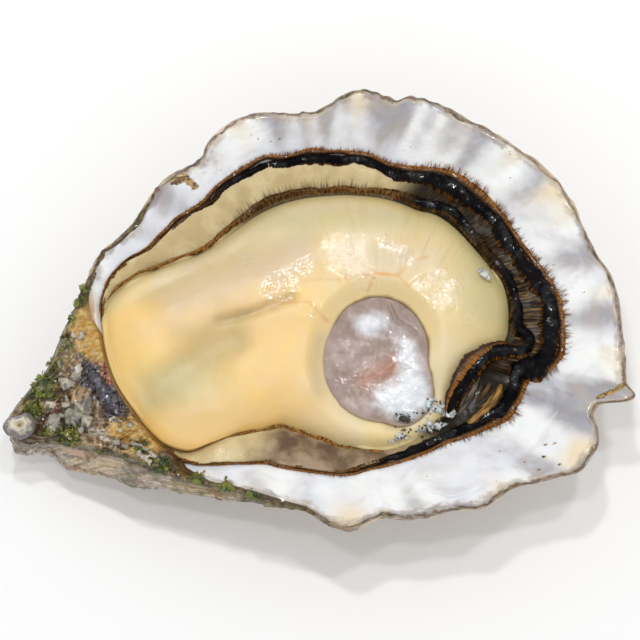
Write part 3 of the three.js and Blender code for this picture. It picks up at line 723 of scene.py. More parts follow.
# Furrows, as routes over the body: points, half width, depth.
FURROWS = [
    ([(-28, 2.5), (-21, 6.5), (-12, 9.5), (-3, 13)], 3.2, 0.7),
    ([(-16.5, -2.6), (-12, -1.6), (-8.5, -0.3), (-4.5, 1.3)], 1.0, 0.4),
    ([(-29, -16.5), (-25, -13), (-19, -8.5), (-14.5, -6)], 3.4, 0.55),
]
BODY_SPOKES = 560
BODY_RINGS = 104
MEAT_GAP = 0.35


def distance_inside(x, y, radius_by_angle, count=500):
    """How far in from a closed outline each spot is."""
    fine = spokes_round(radius_by_angle, count)
    ex, ey = on_plan(fine, radius_by_angle(fine))
    sx, sy = np.roll(ex, -1) - ex, np.roll(ey, -1) - ey
    nearest = np.full(x.size, 1e9)
    for k in range(count):
        dx, dy = x.ravel() - ex[k], y.ravel() - ey[k]
        s = np.clip((dx * sx[k] + dy * sy[k]) / (sx[k] ** 2 + sy[k] ** 2), 0, 1)
        nearest = np.minimum(nearest, (dx - s * sx[k]) ** 2 + (dy - s * sy[k]) ** 2)
    return np.sqrt(nearest).reshape(x.shape)


def body_height(x, y):
    """Height of the body's top: rounded at its edge, with furrows, sunk round the muscle."""
    angle, radius = to_polar(x, y)
    from_edge = np.clip(distance_inside(x, y, body_radius) / SHOULDER, 0, 1)
    rounded = 1 - (1 - from_edge) ** 2.6
    furrows = sum(depth * near_route(x, y, route, width) for route, width, depth in FURROWS)
    off = np.hypot(x - MUSCLE_AT[0], y - MUSCLE_AT[1])
    off = off - muscle_radius(np.arctan2(y - MUSCLE_AT[1], x - MUSCLE_AT[0]))
    hollow = SOCKET_SINK * (1 - smoothstep(off, -0.5, 3.5))
    swell = 0.3 * grain(x, y, 10, 41) + 0.14 * grain(x, y, 4.5, 42)
    soft = (furrows + hollow - swell) * smoothstep(from_edge, 0, 0.4)
    height = lerp(body_edge_height(angle), CROWN, rounded) - soft
    return np.maximum(height, cup_height(angle, radius) + MEAT_GAP + 0.8)


def near_spots(x, y, spots):
    """Soft round patches, each (x, y, reach, strength)."""
    return sum(strength * np.exp(-(((x - a) ** 2 + (y - b) ** 2) / reach**2))
               for a, b, reach, strength in spots)


def body_outline_from_muscle(turn):
    """How far the body's edge is from the muscle's middle, by direction."""
    fine = np.linspace(0, TURN, 7201)
    x, y = on_plan(fine, body_radius(fine) - 0.1)
    seen = np.mod(np.arctan2(y - MUSCLE_AT[1], x - MUSCLE_AT[0]), TURN)
    order = np.argsort(seen)
    reach = np.hypot(x - MUSCLE_AT[0], y - MUSCLE_AT[1])[order]
    return np.interp(turn, seen[order], reach, period=TURN)


def body_points():
    """Spokes from the muscle's socket to the edge, round it, and back along the underside."""
    fine = np.linspace(0, TURN, 7201)
    reach = body_outline_from_muscle(fine)
    x, y = MUSCLE_AT[0] + reach * np.cos(fine), MUSCLE_AT[1] + reach * np.sin(fine)
    step = np.hypot(np.diff(x), np.diff(y)) + 8 * np.diff(fine)
    length = np.concatenate([[0], np.cumsum(step)])
    turn = np.interp(np.arange(BODY_SPOKES) / BODY_SPOKES * length[-1], length, fine)[:, None]
    hole = muscle_radius(turn) + 0.02
    edge = body_outline_from_muscle(turn)
    t = np.linspace(0, 1, BODY_RINGS)[None, :]
    top = lerp(hole, edge, t)
    roll = np.array([[0.25, 0.35, 0.2]])
    radii = np.concatenate([top, edge + roll, lerp(edge, hole, np.array([[0.15, 0.5, 1.0]]))], 1)
    x = MUSCLE_AT[0] + radii * np.cos(turn)
    y = MUSCLE_AT[1] + radii * np.sin(turn)
    n = top.shape[1]
    z = cup_height_at(x, y) + MEAT_GAP
    top_z = body_height(x[:, :n], y[:, :n])
    into_hole = np.exp(-((top - hole) / 0.3))
    top_z = top_z - 0.15 * into_hole
    z[:, :n] = top_z
    edge_z = top_z[:, -1:]
    z[:, n:n + 3] = np.maximum(edge_z - np.array([[0.4, 1.0, 1.6]]), z[:, n:n + 3])
    return turn, radii, hole, np.stack([x, y, z], 2)


# Where the liquor still stands in beads: x, y, reach, strength.
WET_SPOTS = [
    (-6.5, 3.2, 2.6, 1.0), (4.5, 8.6, 3.0, 1.0), (-2.5, 6.8, 1.6, 0.7), (22.5, 5.0, 2.8, 1.1),
    (20.5, 1.2, 2.4, 1.0), (17.0, 3.5, 1.8, 0.6), (12.0, 11.0, 1.6, 0.7), (-12.0, 8.0, 1.5, 0.6),
    (26.0, -1.8, 1.6, 0.8), (8.0, 4.5, 2.0, 0.7), (0.0, -1.5, 1.5, 0.5), (15.0, 8.5, 1.6, 0.6),
]
turn, radii, hole, points = body_points()
x, y = points[..., 0], points[..., 1]
angles, hub_radii = to_polar(x, y)
to_edge = body_radius(angles) - hub_radii
body = skin("body", points, {
    "gland_and_furrow_shade": (near_route(x, y, FURROWS[0][0], 3.8) * 0.6 + near_route(x, y, FURROWS[2][0], 4.2)
               + near_route(x, y, [(-24, -4.6), (-17, -2.6), (-8, 0.6)], 2.4) * 0.5),
    "crease_shadow": 0.75 * near_route(x, y, [(-16.5, -2.2), (-11.5, -1.0), (-8, 0.2), (-4.5, 1.5)],
                                0.85 + 0.3 * grain(x, y, 1.5, 43)),
    "wet": near_spots(x, y, WET_SPOTS),
    "grey_shade": near_route(x, y, [(-24, 0.5), (-13, 5.0), (-3, 8.6)], 3.6)
    + 0.7 * np.exp(-((x - 14) / 7) ** 2 - ((y - 8) / 3) ** 2)
    + 0.6 * near_route(x, y, [(-22, 8.0), (-12, 13.5), (0, 17.5), (12, 16.5)], 1.5),
    "to_edge": to_edge,
    "from_muscle": radii - hole,
    "turn": turn * np.ones_like(radii),
    "warm": smoothstep(x, 12, -20) * smoothstep(y - 0.35 * x, 16, 4),
    "upper_right": smoothstep(x, -6, 6) * smoothstep(y, 0, 10),
    "olive": np.exp(-((x + 23) / 8) ** 2 - ((y + 13.5) / 4.5) ** 2)
    + 0.9 * smoothstep(x, 20, 28) * smoothstep(y, -8, 0) + 0.7 * np.exp(-((y - 15) / 2.5) ** 2),
    "vein": (near_route(x, y, [(-5, 4.4), (2, 4.4), (9.7, 5.6), (13.5, 5.2), (15.5, 7.5),
                               (18.4, 8.4)], 0.35 + 0.2 * grain(x, y, 2, 44))
             + near_route(x, y, [(8.4, 2.6), (9.7, 5.6), (13.5, 5.2), (15.4, 3.4)], 0.3)
             + near_route(x, y, [(-7, 0.4), (-1.5, 0.6), (1.5, -2.5)], 0.35)),
    "outlined": smoothstep(np.cos(turn - 0.8), -0.3, 0.5) * np.ones_like(radii),
    "shade_by_socket": near_route(x, y, [(0.4, -5.5), (-0.6, -10), (0.2, -14.5)], 1.3),
}, looped=True)

flesh = Finish("cream_flesh", Roughness=0.4, Coat_IOR=1.6, Specular_IOR_Level=0.3,
               Subsurface_Weight=0.4, Subsurface_Scale=0.0022,
               Subsurface_Radius=(1.0, 0.55, 0.25))
broad = flesh.noise(11.0, detail=3, distortion=0.5)
mottle = flesh.noise(3.2, detail=4)
pale = flesh.mix(flesh.band(broad, 0.35, 0.65), (0.75, 0.59, 0.30), (0.76, 0.64, 0.41))
warm = flesh.mix(flesh.band(broad, 0.35, 0.65), (0.84, 0.575, 0.20), (0.80, 0.56, 0.25))
meat = flesh.mix(flesh.band(flesh.sum(flesh.field("warm"), flesh.times(mottle, 0.3)), 0.1, 0.8),
                 pale, warm)
rays = flesh.noise(1.0, detail=3, vector=flesh.vector(
    flesh.times(flesh.field("turn"), 30.0), flesh.times(flesh.field("from_muscle"), 0.16)))
ray_share = flesh.times(flesh.band(rays, 0.48, 0.78), flesh.field("upper_right"))
meat = flesh.mix(flesh.times(ray_share, 0.4), meat, (0.52, 0.39, 0.17))
# Painted shade along the furrows, in the olive of the gland that shows through there.
gland_and_furrow_shade = flesh.band(flesh.sum(flesh.field("gland_and_furrow_shade"), flesh.times(mottle, 0.35)), 0.25, 1.5)
meat = flesh.mix(flesh.times(gland_and_furrow_shade, 0.75), meat, (0.43, 0.33, 0.145))
# Painted grey shade on the body: along a dip, at the upper right, and under the upper margin's edge.
meat = flesh.mix(flesh.times(flesh.field("grey_shade"), 0.65), meat, (0.60, 0.50, 0.38))
meat = flesh.mix(flesh.times(flesh.field("olive"), 0.75), meat, (0.56, 0.50, 0.26))
# Painted shadow along the crease.
crease_shadow = flesh.times(flesh.field("crease_shadow"), flesh.band(mottle, 0.3, 0.6, 0.4, 1.0))
meat = flesh.mix(flesh.times(crease_shadow, 0.7), meat, (0.34, 0.24, 0.11))
# Painted shade where the body dips into the muscle's socket.
meat = flesh.mix(flesh.times(flesh.field("shade_by_socket"), 0.4), meat, (0.48, 0.41, 0.31))
vein = flesh.times(flesh.field("vein"), flesh.band(mottle, 0.35, 0.6, 0.2, 0.6))
meat = flesh.mix(vein, meat, (0.66, 0.36, 0.11))
thin_edge = flesh.band(flesh.sum(flesh.field("to_edge"), flesh.times(mottle, 1.5)), 3.2, 0.9)
edge_tone = flesh.mix(flesh.band(flesh.field("warm"), 0.3, 0.8), (0.55, 0.43, 0.18),
                      (0.72, 0.43, 0.11))
meat = flesh.mix(flesh.times(thin_edge, 0.6), meat, edge_tone)
ring = flesh.band(flesh.sum(flesh.field("from_muscle"), flesh.times(mottle, 1.1)), 1.25, 0.55)
meat = flesh.mix(flesh.times(flesh.times(ring, flesh.field("outlined")), 0.9), meat,
                 (0.20, 0.10, 0.03))
flesh.colour(meat)
wet = flesh.band(flesh.sum(flesh.field("wet"), flesh.times(mottle, 0.9)), 0.5, 1.0)
flesh.set(flesh.shader.inputs["Coat Weight"], flesh.band(wet, 0.0, 1.0, 0.12, 0.9))
flesh.set(flesh.shader.inputs["Coat Roughness"], flesh.band(wet, 0.0, 0.5, 0.3, 0.03))
flesh.bump((flesh.noise(5.0, detail=2), 0.2), (flesh.beads(wet), 0.22), (ray_share, 0.05),
           film=True)
fit(body, flesh, "meat", "body")

# ---- The adductor muscle -----------------------------------------------------------------------
# The round muscle that held the two valves shut, cut through when the oyster was opened. Most of
# it is translucent grey-mauve fibre; the catch part, at its back and front, is opaque white.

MUSCLE_TOP = 17.0
MUSCLE_SPOKES = 300
MUSCLE_RINGS = 62


def muscle_points():
    """A column from the cut down to the shell, with a knob, a seam and a pit in the cut."""
    turn = (np.arange(MUSCLE_SPOKES) / MUSCLE_SPOKES * TURN)[:, None]
    across_cut = np.linspace(0, 1, MUSCLE_RINGS) ** 0.8
    share = np.concatenate([across_cut, [1.0, 1.0, 0.95, 0.5, 0.0]])[None, :]
    edge = muscle_radius(turn) + 0.14 + 0.08 * np.sin(9 * turn) * np.sin(4 * turn + 1)
    radii = share * edge
    x = MUSCLE_AT[0] + radii * np.cos(turn)
    y = MUSCLE_AT[1] + radii * np.sin(turn)
    top = MUSCLE_TOP + 0.5 * (1 - 1.5 * np.minimum(share, 1) ** 6)
    knob = 0.9 * np.exp(-((x - 9) / 2.6) ** 2 - ((y + 3.0) / 2.4) ** 2)
    seam = 0.5 * near_route(x, y, [(12, 0.6), (13.2, -2.2), (16.5, -4.5)], 0.45)
    pit = 0.8 * near_route(x, y, [(13.5, -18.9), (15.6, -19.4)], 0.8)
    z = top + 0.18 * rough(x, y, 3, 51) + knob - seam - pit
    bottom = cup_height_at(x, y) + 0.65
    n = MUSCLE_RINGS
    z[:, n] = z[:, n - 1] - 0.8
    z[:, n + 1:] = bottom[:, n + 1:]
    return share * np.ones_like(x), np.stack([x, y, z], 2)


share, points = muscle_points()
x, y = points[..., 0], points[..., 1]
white_parts = (
    1.1 * np.exp(-((x - 9.0) / 4.2) ** 2 - ((y + 3.0) / 2.9) ** 2)
    + 0.9 * np.exp(-((x - 15.2) / 2.6) ** 2 - ((y + 8.0) / 5.0) ** 2)
    + 1.15 * np.exp(-((x - 13.5) / 5.5) ** 2 - ((y + 16.2) / 3.6) ** 2)
    + 0.6 * np.exp(-((x - 17.0) / 2.5) ** 2 - ((y + 13.5) / 4.0) ** 2)
)
muscle = skin("adductor_muscle", points, {
    "white": white_parts,
    "pink": near_route(x, y, [(8.0, -12.6), (11.0, -11.0), (13.0, -9.8)], 1.7),
    "outward": share * (0.93 + 0.07 * smoothstep(x - y, 12, 24)),
})

fibre = Finish("muscle_fibre", Roughness=0.35, Coat_Roughness=0.04, Coat_IOR=1.7,
               Specular_IOR_Level=0.3, Subsurface_Weight=0.3, Subsurface_Scale=0.002,
               Subsurface_Radius=(1.0, 0.6, 0.5))
cloud = fibre.noise(4.0, detail=5, distortion=0.6)
curd = fibre.noise(1.3, detail=4)
grey = fibre.mix(fibre.band(cloud, 0.35, 0.65), (0.32, 0.235, 0.20), (0.44, 0.345, 0.31))
grey = fibre.mix(fibre.times(fibre.field("pink"), 0.75), grey, (0.40, 0.18, 0.11))
milky = fibre.mix(fibre.band(curd, 0.35, 0.65), (0.64, 0.66, 0.70), (0.80, 0.81, 0.83))
whiteness = fibre.sum(fibre.field("white"),
                      fibre.sum(fibre.times(cloud, 0.9), fibre.times(curd, 0.3)))
tone = fibre.mix(fibre.band(whiteness, 0.92, 1.65), grey, milky)
tone = fibre.mix(fibre.band(fibre.field("outward"), 0.93, 1.0, 0.0, 0.6), tone, (0.36, 0.26, 0.16))
fibre.colour(tone)
wet = fibre.band(fibre.noise(4.5, detail=1), 0.54, 0.62)
fibre.set(fibre.shader.inputs["Coat Weight"], fibre.band(wet, 0.0, 1.0, 0.12, 0.9))
fibre.bump((fibre.noise(2.6, detail=2), 0.3), (fibre.beads(wet), 0.2), (curd, 0.04), film=True)
fit(muscle, fibre, "muscle", "adductor_muscle")

# ---- The lower mantle lobe ---------------------------------------------------------------------
# A sheet of tissue that lies on the shell all round the body. Its strip between the two dark
# margins is cream and streaked at the back, brown-black at the lip, and grey-mauve at the front.

lower_margin_width = by_angle([
    (-120, 0.8), (-95, 0.8), (-85, 0.9), (-74, 1.3), (-64, 1.6), (-52, 1.7), (-43, 2.1),
    (-29, 2.3), (-24, 2.4), (-21, 3), (-18, 4.0), (-15.5, 3.9), (-11.5, 3.5), (-6, 2.9),
    (0, 2.8), (12, 2.7), (25, 2.4), (40, 3.0), (50, 2.6), (60, 2.2), (80, 1.9), (105, 1.9),
    (120, 1.6), (150, 1.12), (170, 0.85), (186, 0.5), (200, 0.4),
])
STRIP_FROM = -139
STRIP_TO = 186
STRIP_STATIONS = 900
POINTS_ACROSS = 34


def strip_points():
    """A puffed, pleated strip from under the body's edge out to the black band."""
    angle = np.radians(np.linspace(STRIP_TO, STRIP_FROM, STRIP_STATIONS))[::-1, None]
    inner = body_radius(angle) - 0.6
    outer = np.maximum(margin_radius(angle) - 0.5 * lower_margin_width(angle), inner + 0.7)
    t = np.linspace(0, 1, POINTS_ACROSS)[None, :]
    radii = lerp(inner, outer, t)
    arc = angle * 30
    puff = np.sin(math.pi * t) ** 0.8 * np.clip((outer - inner) * 0.12, 0.1, 0.9)
    pleats = 0.12 * grain(arc, t * 3, 0.9, 61) + 0.14 * grain(arc, t * 3, 2.4, 62)
    inner_z = body_edge_height(angle) - 0.7
    outer_z = cup_height(angle, outer) + 1.1
    z = lerp(inner_z, outer_z, t) + puff + pleats * np.sin(math.pi * t)
    ends = smoothstep(np.degrees(angle), STRIP_FROM, STRIP_FROM + 12)
    ends = ends * smoothstep(-np.degrees(angle), -STRIP_TO, -STRIP_TO + 8)
    z = np.maximum(z, cup_height(angle, radii) + 0.5)
    z = lerp(cup_height(angle, radii) + 0.02, z, ends)
    back = lerp(outer, inner, np.array([[0.0, 0.5, 1.0]]))
    back_z = cup_height(angle, back) + 0.3 * ends - 0.1
    all_radii = np.concatenate([radii, back], 1)
    x, y = on_plan(angle, all_radii)
    points = np.stack([x, y, np.concatenate([z, back_z], 1)], 2)
    across = np.concatenate([t, [[1.0, 0.5, 0.0]]], 1)
    return angle, all_radii, across, points


angle, radii, across, points = strip_points()
strip = skin("mantle_strip", points, {
    "along": angle * 34 * np.ones_like(radii),
    "across": across * np.ones_like(radii),
    "dark": smoothstep(np.degrees(angle), 66, 52) * smoothstep(np.degrees(angle), -62, -48)
    * np.ones_like(radii),
    "gold": (bumps_by_angle(angle, [(6, 16, 1.0), (40, 9, 0.45), (-12, 6, 0.6)])
             * smoothstep(across, 0.05, 0.4) * np.ones_like(radii)),
    "front": (smoothstep(np.degrees(angle), -55, -70) * smoothstep(np.degrees(angle), -124, -108)
              * smoothstep(across, 0.0, 0.25) * np.ones_like(radii)),
    "streaked": smoothstep(np.degrees(angle), 150, 125) * smoothstep(np.degrees(angle), 20, 50)
    * np.ones_like(radii),
}, around=False, looped=True)

lobe = Finish("mantle_tissue", Roughness=0.4, Coat_Roughness=0.05, Coat_IOR=1.7,
              Specular_IOR_Level=0.12, Subsurface_Weight=0.25, Subsurface_Scale=0.0015,
              Subsurface_Radius=(1.0, 0.6, 0.3))
tissue_noise = lobe.noise(4.0, detail=3)
cream = lobe.mix(lobe.band(tissue_noise, 0.35, 0.65), (0.54, 0.42, 0.22), (0.66, 0.53, 0.29))
streak = lobe.noise(1.0, detail=3, vector=lobe.vector(
    lobe.times(lobe.field("along"), 2.6), lobe.times(lobe.field("across"), 1.3)))
inner_half = lobe.band(lobe.less(lobe.field("across"), lobe.times(streak, 0.9)), 0.02, -0.3)
cream = lobe.mix(lobe.times(lobe.times(inner_half, lobe.field("streaked")), 0.85), cream,
                 (0.035, 0.02, 0.008))
lamellae = lobe.noise(1.0, detail=3, distortion=0.6, vector=lobe.vector(
    lobe.times(lobe.field("along"), 3.2), lobe.times(lobe.field("across"), 1.4)))
gold_share = lobe.times(lobe.band(lamellae, 0.46, 0.66), lobe.field("gold"))
gold = lobe.mix(gold_share, (0.014, 0.009, 0.005), (0.24, 0.145, 0.05))
front = lobe.mix(lobe.band(tissue_noise, 0.35, 0.65), (0.14, 0.088, 0.055), (0.36, 0.26, 0.16))
tone = lobe.mix(lobe.field("front"), cream, front)
tone = lobe.mix(lobe.field("dark"), tone, gold)
lobe.colour(tone)
wet = lobe.band(lobe.noise(4.0, detail=2), 0.5, 0.66)
lobe.set(lobe.shader.inputs["Coat Weight"], lobe.band(wet, 0.0, 1.0, 0.05, 0.8))
lobe.bump((lobe.noise(2.0, detail=3), 0.2), (lamellae, 0.1), (lobe.beads(wet), 0.16), film=True)
fit(strip, lobe, "mantle", "lower_mantle")

# ---- The dark margins --------------------------------------------------------------------------
# The sensory edges of the mantle lobes: thick ruffled bands crowded with short tentacles, black
# where they are thick and brown where they thin out. The upper one turns in to make a curl.

BAND_STEP = 0.13
POINTS_OVER = 19


def along_path(points, step):
    """A smooth path through points, in even steps."""
    p = np.array(points, float)
    knot = np.concatenate([[0], np.cumsum(np.linalg.norm(np.diff(p, axis=0), axis=1))])
    tangent = np.gradient(p, knot, axis=0)
    fine = np.linspace(0, knot[-1], 4000)
    i = np.clip(np.searchsorted(knot, fine, side="right") - 1, 0, len(p) - 2)
    width = (knot[i + 1] - knot[i])[:, None]
    s = (fine - knot[i])[:, None] / width
    start, end = tangent[i] * width, tangent[i + 1] * width
    rise = p[i + 1] - p[i]
    route = p[i] + s * (start + s * (3 * rise - 2 * start - end + s * (start + end - 2 * rise)))
    length = np.concatenate([[0], np.cumsum(np.linalg.norm(np.diff(route, axis=0), axis=1))])
    count = int(length[-1] / step)
    at = np.linspace(0, length[-1], count)
    return np.stack([np.interp(at, length, route[:, k]) for k in range(p.shape[1])], 1)


def ruffled_band(name, route, pitch, lamella, seed):
    """A band along a route of (x, y, foot height, width, crest height, thinness 0 to 1).

    Its section is a rounded rib. Tentacles a pitch apart ridge it from the middle outwards.
    """
    path = along_path(route, BAND_STEP)
    x, y, foot, width, crest, thin = path.T
    tangent = np.gradient(path[:, :2], axis=0)
    tangent /= np.linalg.norm(tangent, axis=1, keepdims=True)
    side = np.stack([tangent[:, 1], -tangent[:, 0]], 1)
    arc = np.concatenate([[0], np.cumsum(np.hypot(np.diff(x), np.diff(y)))])[:, None]
    over = np.linspace(-1, 1, POINTS_OVER)[None, :]
    ends = smoothstep(arc, 0, 4) * smoothstep(arc[-1] - arc, 0, 4)
    still = 0 * arc
    plump = 1 + 0.2 * grain(arc, still, 4.3, seed + 3) + 0.1 * grain(arc, still, 1.5, seed + 4)
    ridges = np.abs(np.sin(math.pi * (arc / pitch + 1.2 * grain(arc, still, 3.0, seed + 1))))
    ridges = (ridges - 0.6) * lamella * np.clip(np.abs(over) * 1.5, 0, 1)
    lumps = 0.16 * grain(arc, over * width[:, None] * 0.5, 1.1, seed + 6)
    sway = 0.22 * grain(arc, still, 2.6, seed + 2) * ends
    profile = (1 - np.abs(over) ** 2.6) ** 0.6
    rise = crest[:, None] * (1 + 0.28 * grain(arc, still, 2.3, seed + 5))
    height = (rise + ridges + lumps) * profile * ends
    half = 0.5 * width[:, None] * (0.2 + 0.8 * ends) * plump
    fingers = grain(arc, still, pitch * 0.8, seed + 7) * np.clip(np.abs(over) - 0.5, 0, 1)
    spread = half * over * (1 + 0.35 * fingers) + sway
    px = x[:, None] + side[:, :1] * spread
    py = y[:, None] + side[:, 1:] * spread
    pz = foot[:, None] + height
    under_over = np.array([[0.8, 0.0, -0.8]])
    under = half * under_over + sway
    ux = x[:, None] + side[:, :1] * under
    uy = y[:, None] + side[:, 1:] * under
    uz = foot[:, None] - 0.5 + 0 * ux
    points = np.stack([
        np.concatenate([px, ux], 1), np.concatenate([py, uy], 1), np.concatenate([pz, uz], 1),
    ], 2)
    over_all = np.concatenate([over, under_over], 1) * np.ones_like(points[..., 0])
    return skin(name, points, {
        "over": over_all,
        "along": arc * np.ones_like(over_all),
        "thin": thin[:, None] * np.ones_like(over_all),
    }, around=False, looped=True)


def lower_margin_route():
    """The lower band, along the outer edge of the strip."""
    degrees = np.arange(STRIP_FROM, STRIP_TO + 0.1, 3.0)
    route = []
    for degree in degrees:
        a = math.radians(degree)
        width = float(lower_margin_width(a))
        r = float(margin_radius(a)) - 0.5 * width
        px, py = on_plan(a, r)
        foot = float(cup_height(a, r)) + 0.4
        crest = 0.5 + 0.38 * width
        thin = float(np.clip(1.15 - 0.8 * width, 0, 0.8))
        plump = 0.85 + 0.3 * float(smoothstep(width, 1.4, 2.4))
        route.append((px, py, foot, width * plump, crest * plump, thin))
    return route


def upper_margin_route():
    """The upper band, along the body's edge."""
    width_by_angle = by_angle([
        (-9, 2.2), (0, 2.4), (10, 2.1), (25, 1.9), (40, 2.6), (50, 2.1), (60, 1.6), (75, 1.3),
        (90, 1.5), (120, 1.7), (135, 1.5), (150, 1.1), (168, 0.7), (200, 0.5), (-60, 1.5),
    ])
    route = []
    # The curl, where the margin turns back in towards the muscle and down beside it.
    for px, py, foot, width, crest in (
        (21.6, -19.4, 15.0, 1.1, 0.9), (22.3, -17.4, 15.3, 1.6, 1.3), (23.4, -15.0, 15.6, 2.0, 1.7),
        (25.0, -12.6, 16.0, 2.4, 1.9), (26.9, -10.2, 16.3, 2.5, 2.0), (28.8, -8.2, 16.5, 2.4, 2.0),
        (31.6, -7.7, 16.6, 2.3, 2.0), (34.6, -7.6, 16.6, 2.3, 1.9), (35.9, -5.6, 16.4, 2.3, 1.6),
    ):
        route.append((px, py, foot, width, crest, 0.0))
    for degree in np.arange(-5, 179.1, 4.0):
        a = math.radians(degree)
        width = float(width_by_angle(a))
        r = float(body_radius(a)) + 0.3 + 0.5 * width
        px, py = on_plan(a, r)
        foot = max(float(body_edge_height(a)), float(cup_height(a, r))) + 0.55
        thin = float(np.clip(1.35 - 0.65 * width, 0, 0.85))
        plump = 0.75 + 0.3 * float(smoothstep(width, 1.2, 2.2))
        route.append((px, py, foot, width * plump, (0.6 + 0.42 * width) * plump, thin))
    return route


lower_margin = ruffled_band("lower_mantle_margin", lower_margin_route(), 0.62, 0.2, 71)
upper_margin = ruffled_band("upper_mantle_margin", upper_margin_route(), 0.55, 0.18, 81)

frill = Finish("dark_margin", Roughness=0.5, Coat_Roughness=0.04, Coat_IOR=1.45,
               Specular_IOR_Level=0.02)
patches = frill.band(frill.noise(2.5, detail=3), 0.46, 0.7)
frill.set(frill.shader.inputs["Coat Weight"], frill.band(patches, 0.0, 1.0, 0.06, 0.85))
combed = frill.noise(1.0, detail=3, vector=frill.vector(
    frill.times(frill.field("along"), 3.2), frill.times(frill.field("over"), 0.8)))
black = frill.mix(frill.band(frill.noise(3.0), 0.4, 0.6), (0.002, 0.002, 0.003),
                  (0.007, 0.006, 0.007))
brown = frill.mix(frill.band(combed, 0.4, 0.6), (0.03, 0.011, 0.002), (0.30, 0.115, 0.012))
outer_edge = frill.band(frill.sum(frill.field("over"), frill.times(combed, 0.7)), 1.0, 1.4)
tone = frill.mix(outer_edge, black, brown)
inner_edge = frill.band(frill.sum(frill.times(frill.field("over"), -1.0),
                                  frill.times(combed, 0.6)), 0.95, 1.35)
tone = frill.mix(frill.times(inner_edge, 0.6), tone, brown)
thin_brown = frill.mix(frill.band(combed, 0.38, 0.62), (0.11, 0.042, 0.007), (0.50, 0.235, 0.05))
tone = frill.mix(frill.times(frill.field("thin"), 0.9), tone, thin_brown)
frill.colour(tone)
frill.bump((frill.noise(1.2, detail=1), 0.3), (combed, 0.05))
fit(lower_margin, frill, "margin", "lower_mantle")
fit(upper_margin, frill, "margin", "upper_mantle_margin")

# ---- The brown fringe --------------------------------------------------------------------------
# Outside its black band each margin thins to an orange-brown fringe, combed outwards, which lies
# on the shell. Beside the curl it lies up on the body. Fine tentacles stick out of its edge.

fringe_width = by_angle([
    (-136, 0.2), (-110, 0.4), (-85, 0.5), (-60, 0.8), (-45, 1.1), (-30, 1.25), (-18, 1.25),
    (-5, 1.15), (20, 1.15), (40, 1.4), (52, 1.4), (62, 1.0), (90, 0.9), (120, 0.9), (150, 0.8),
    (174, 0.5),
])


def fringe_route():
    """The tan fringe, along the outer foot of the lower band."""
    route = []
    for degree in np.arange(STRIP_FROM, STRIP_TO + 0.1, 3.0):
        a = math.radians(degree)
        width = float(fringe_width(a))
        r = float(margin_radius(a)) + 0.5 * width - 0.2
        px, py = on_plan(a, r)
        route.append((px, py, float(cup_height(a, r)) + 0.22, width, 0.42, 0.0))
    return route


CURL_FRINGE = [
    (21.4, -18.6, 16.9, 0.7, 0.5, 0.0), (21.9, -16.2, 17.1, 1.1, 0.7, 0.0),
    (23.0, -13.2, 17.2, 1.5, 0.9, 0.0), (24.7, -10.5, 17.3, 1.9, 1.0, 0.0),
    (26.8, -8.2, 17.4, 2.1, 1.0, 0.0), (29.2, -6.9, 17.2, 1.8, 0.9, 0.0),
    (31.6, -6.3, 17.0, 1.5, 0.7, 0.0), (33.6, -6.6, 16.8, 0.9, 0.5, 0.0),
]
fringe = ruffled_band("brown_fringe", fringe_route(), 0.42, 0.12, 101)
curl_fringe = ruffled_band("curl_fringe", CURL_FRINGE, 0.42, 0.2, 111)

tan = Finish("fringe_tissue", Roughness=0.45, Coat_Weight=0.3, Coat_Roughness=0.06,
             Specular_IOR_Level=0.1)
comb = tan.noise(1.0, detail=3, distortion=0.4, vector=tan.vector(
    tan.times(tan.field("along"), 3.4), tan.times(tan.field("over"), 0.5)))
outwards = tan.band(tan.sum(tan.field("over"), tan.times(comb, 0.8)), -0.3, 1.2)
dark_or_tan = tan.mix(outwards, (0.02, 0.008, 0.002), (0.36, 0.135, 0.012))
tan.colour(tan.mix(tan.band(comb, 0.38, 0.55), (0.05, 0.018, 0.003), dark_or_tan))
tan.bump((comb, 0.15), (tan.noise(0.9, detail=2), 0.1))
fit(fringe, tan, "margin", "lower_mantle")
fit(curl_fringe, tan, "margin", "upper_mantle_margin")


HAIR_SIDES = 3


def hair_strands(name, roots, tips, thickness):
    """Tapered hairs from roots to tips, each bent a little upwards, as one mesh."""
    sides = HAIR_SIDES
    middle = (roots + tips) / 2 + np.array([0, 0, 0.12])
    run = tips - roots
    across = np.stack([-run[:, 1], run[:, 0], 0 * run[:, 0]], 1)
    across /= np.maximum(np.linalg.norm(across, axis=1, keepdims=True), 1e-6)
    up = np.cross(run, across)
    up /= np.maximum(np.linalg.norm(up, axis=1, keepdims=True), 1e-6)
    turns = TURN * np.arange(sides) / sides
    rings = []
    for centre, share in ((roots, 1.0), (middle, 0.8)):
        for t in turns:
            rings.append(centre + thickness[:, None] * share * (
                across * math.cos(t) + up * math.sin(t)))
    rings.append(tips)
    vertices = np.stack(rings, 1)
    faces = [tuple(range(sides - 1, -1, -1))]
    for k in range(sides):
        k2 = (k + 1) % sides
        faces.append((k, k2, sides + k2, sides + k))
        faces.append((sides + k, sides + k2, 2 * sides))
    per = vertices.shape[1]
    all_faces = [tuple(i + n * per for i in face) for n in range(len(roots)) for face in faces]
    return as_piece(name, (vertices.reshape(-1, 3) + OWN_TO_FRAME) * 0.001, all_faces)


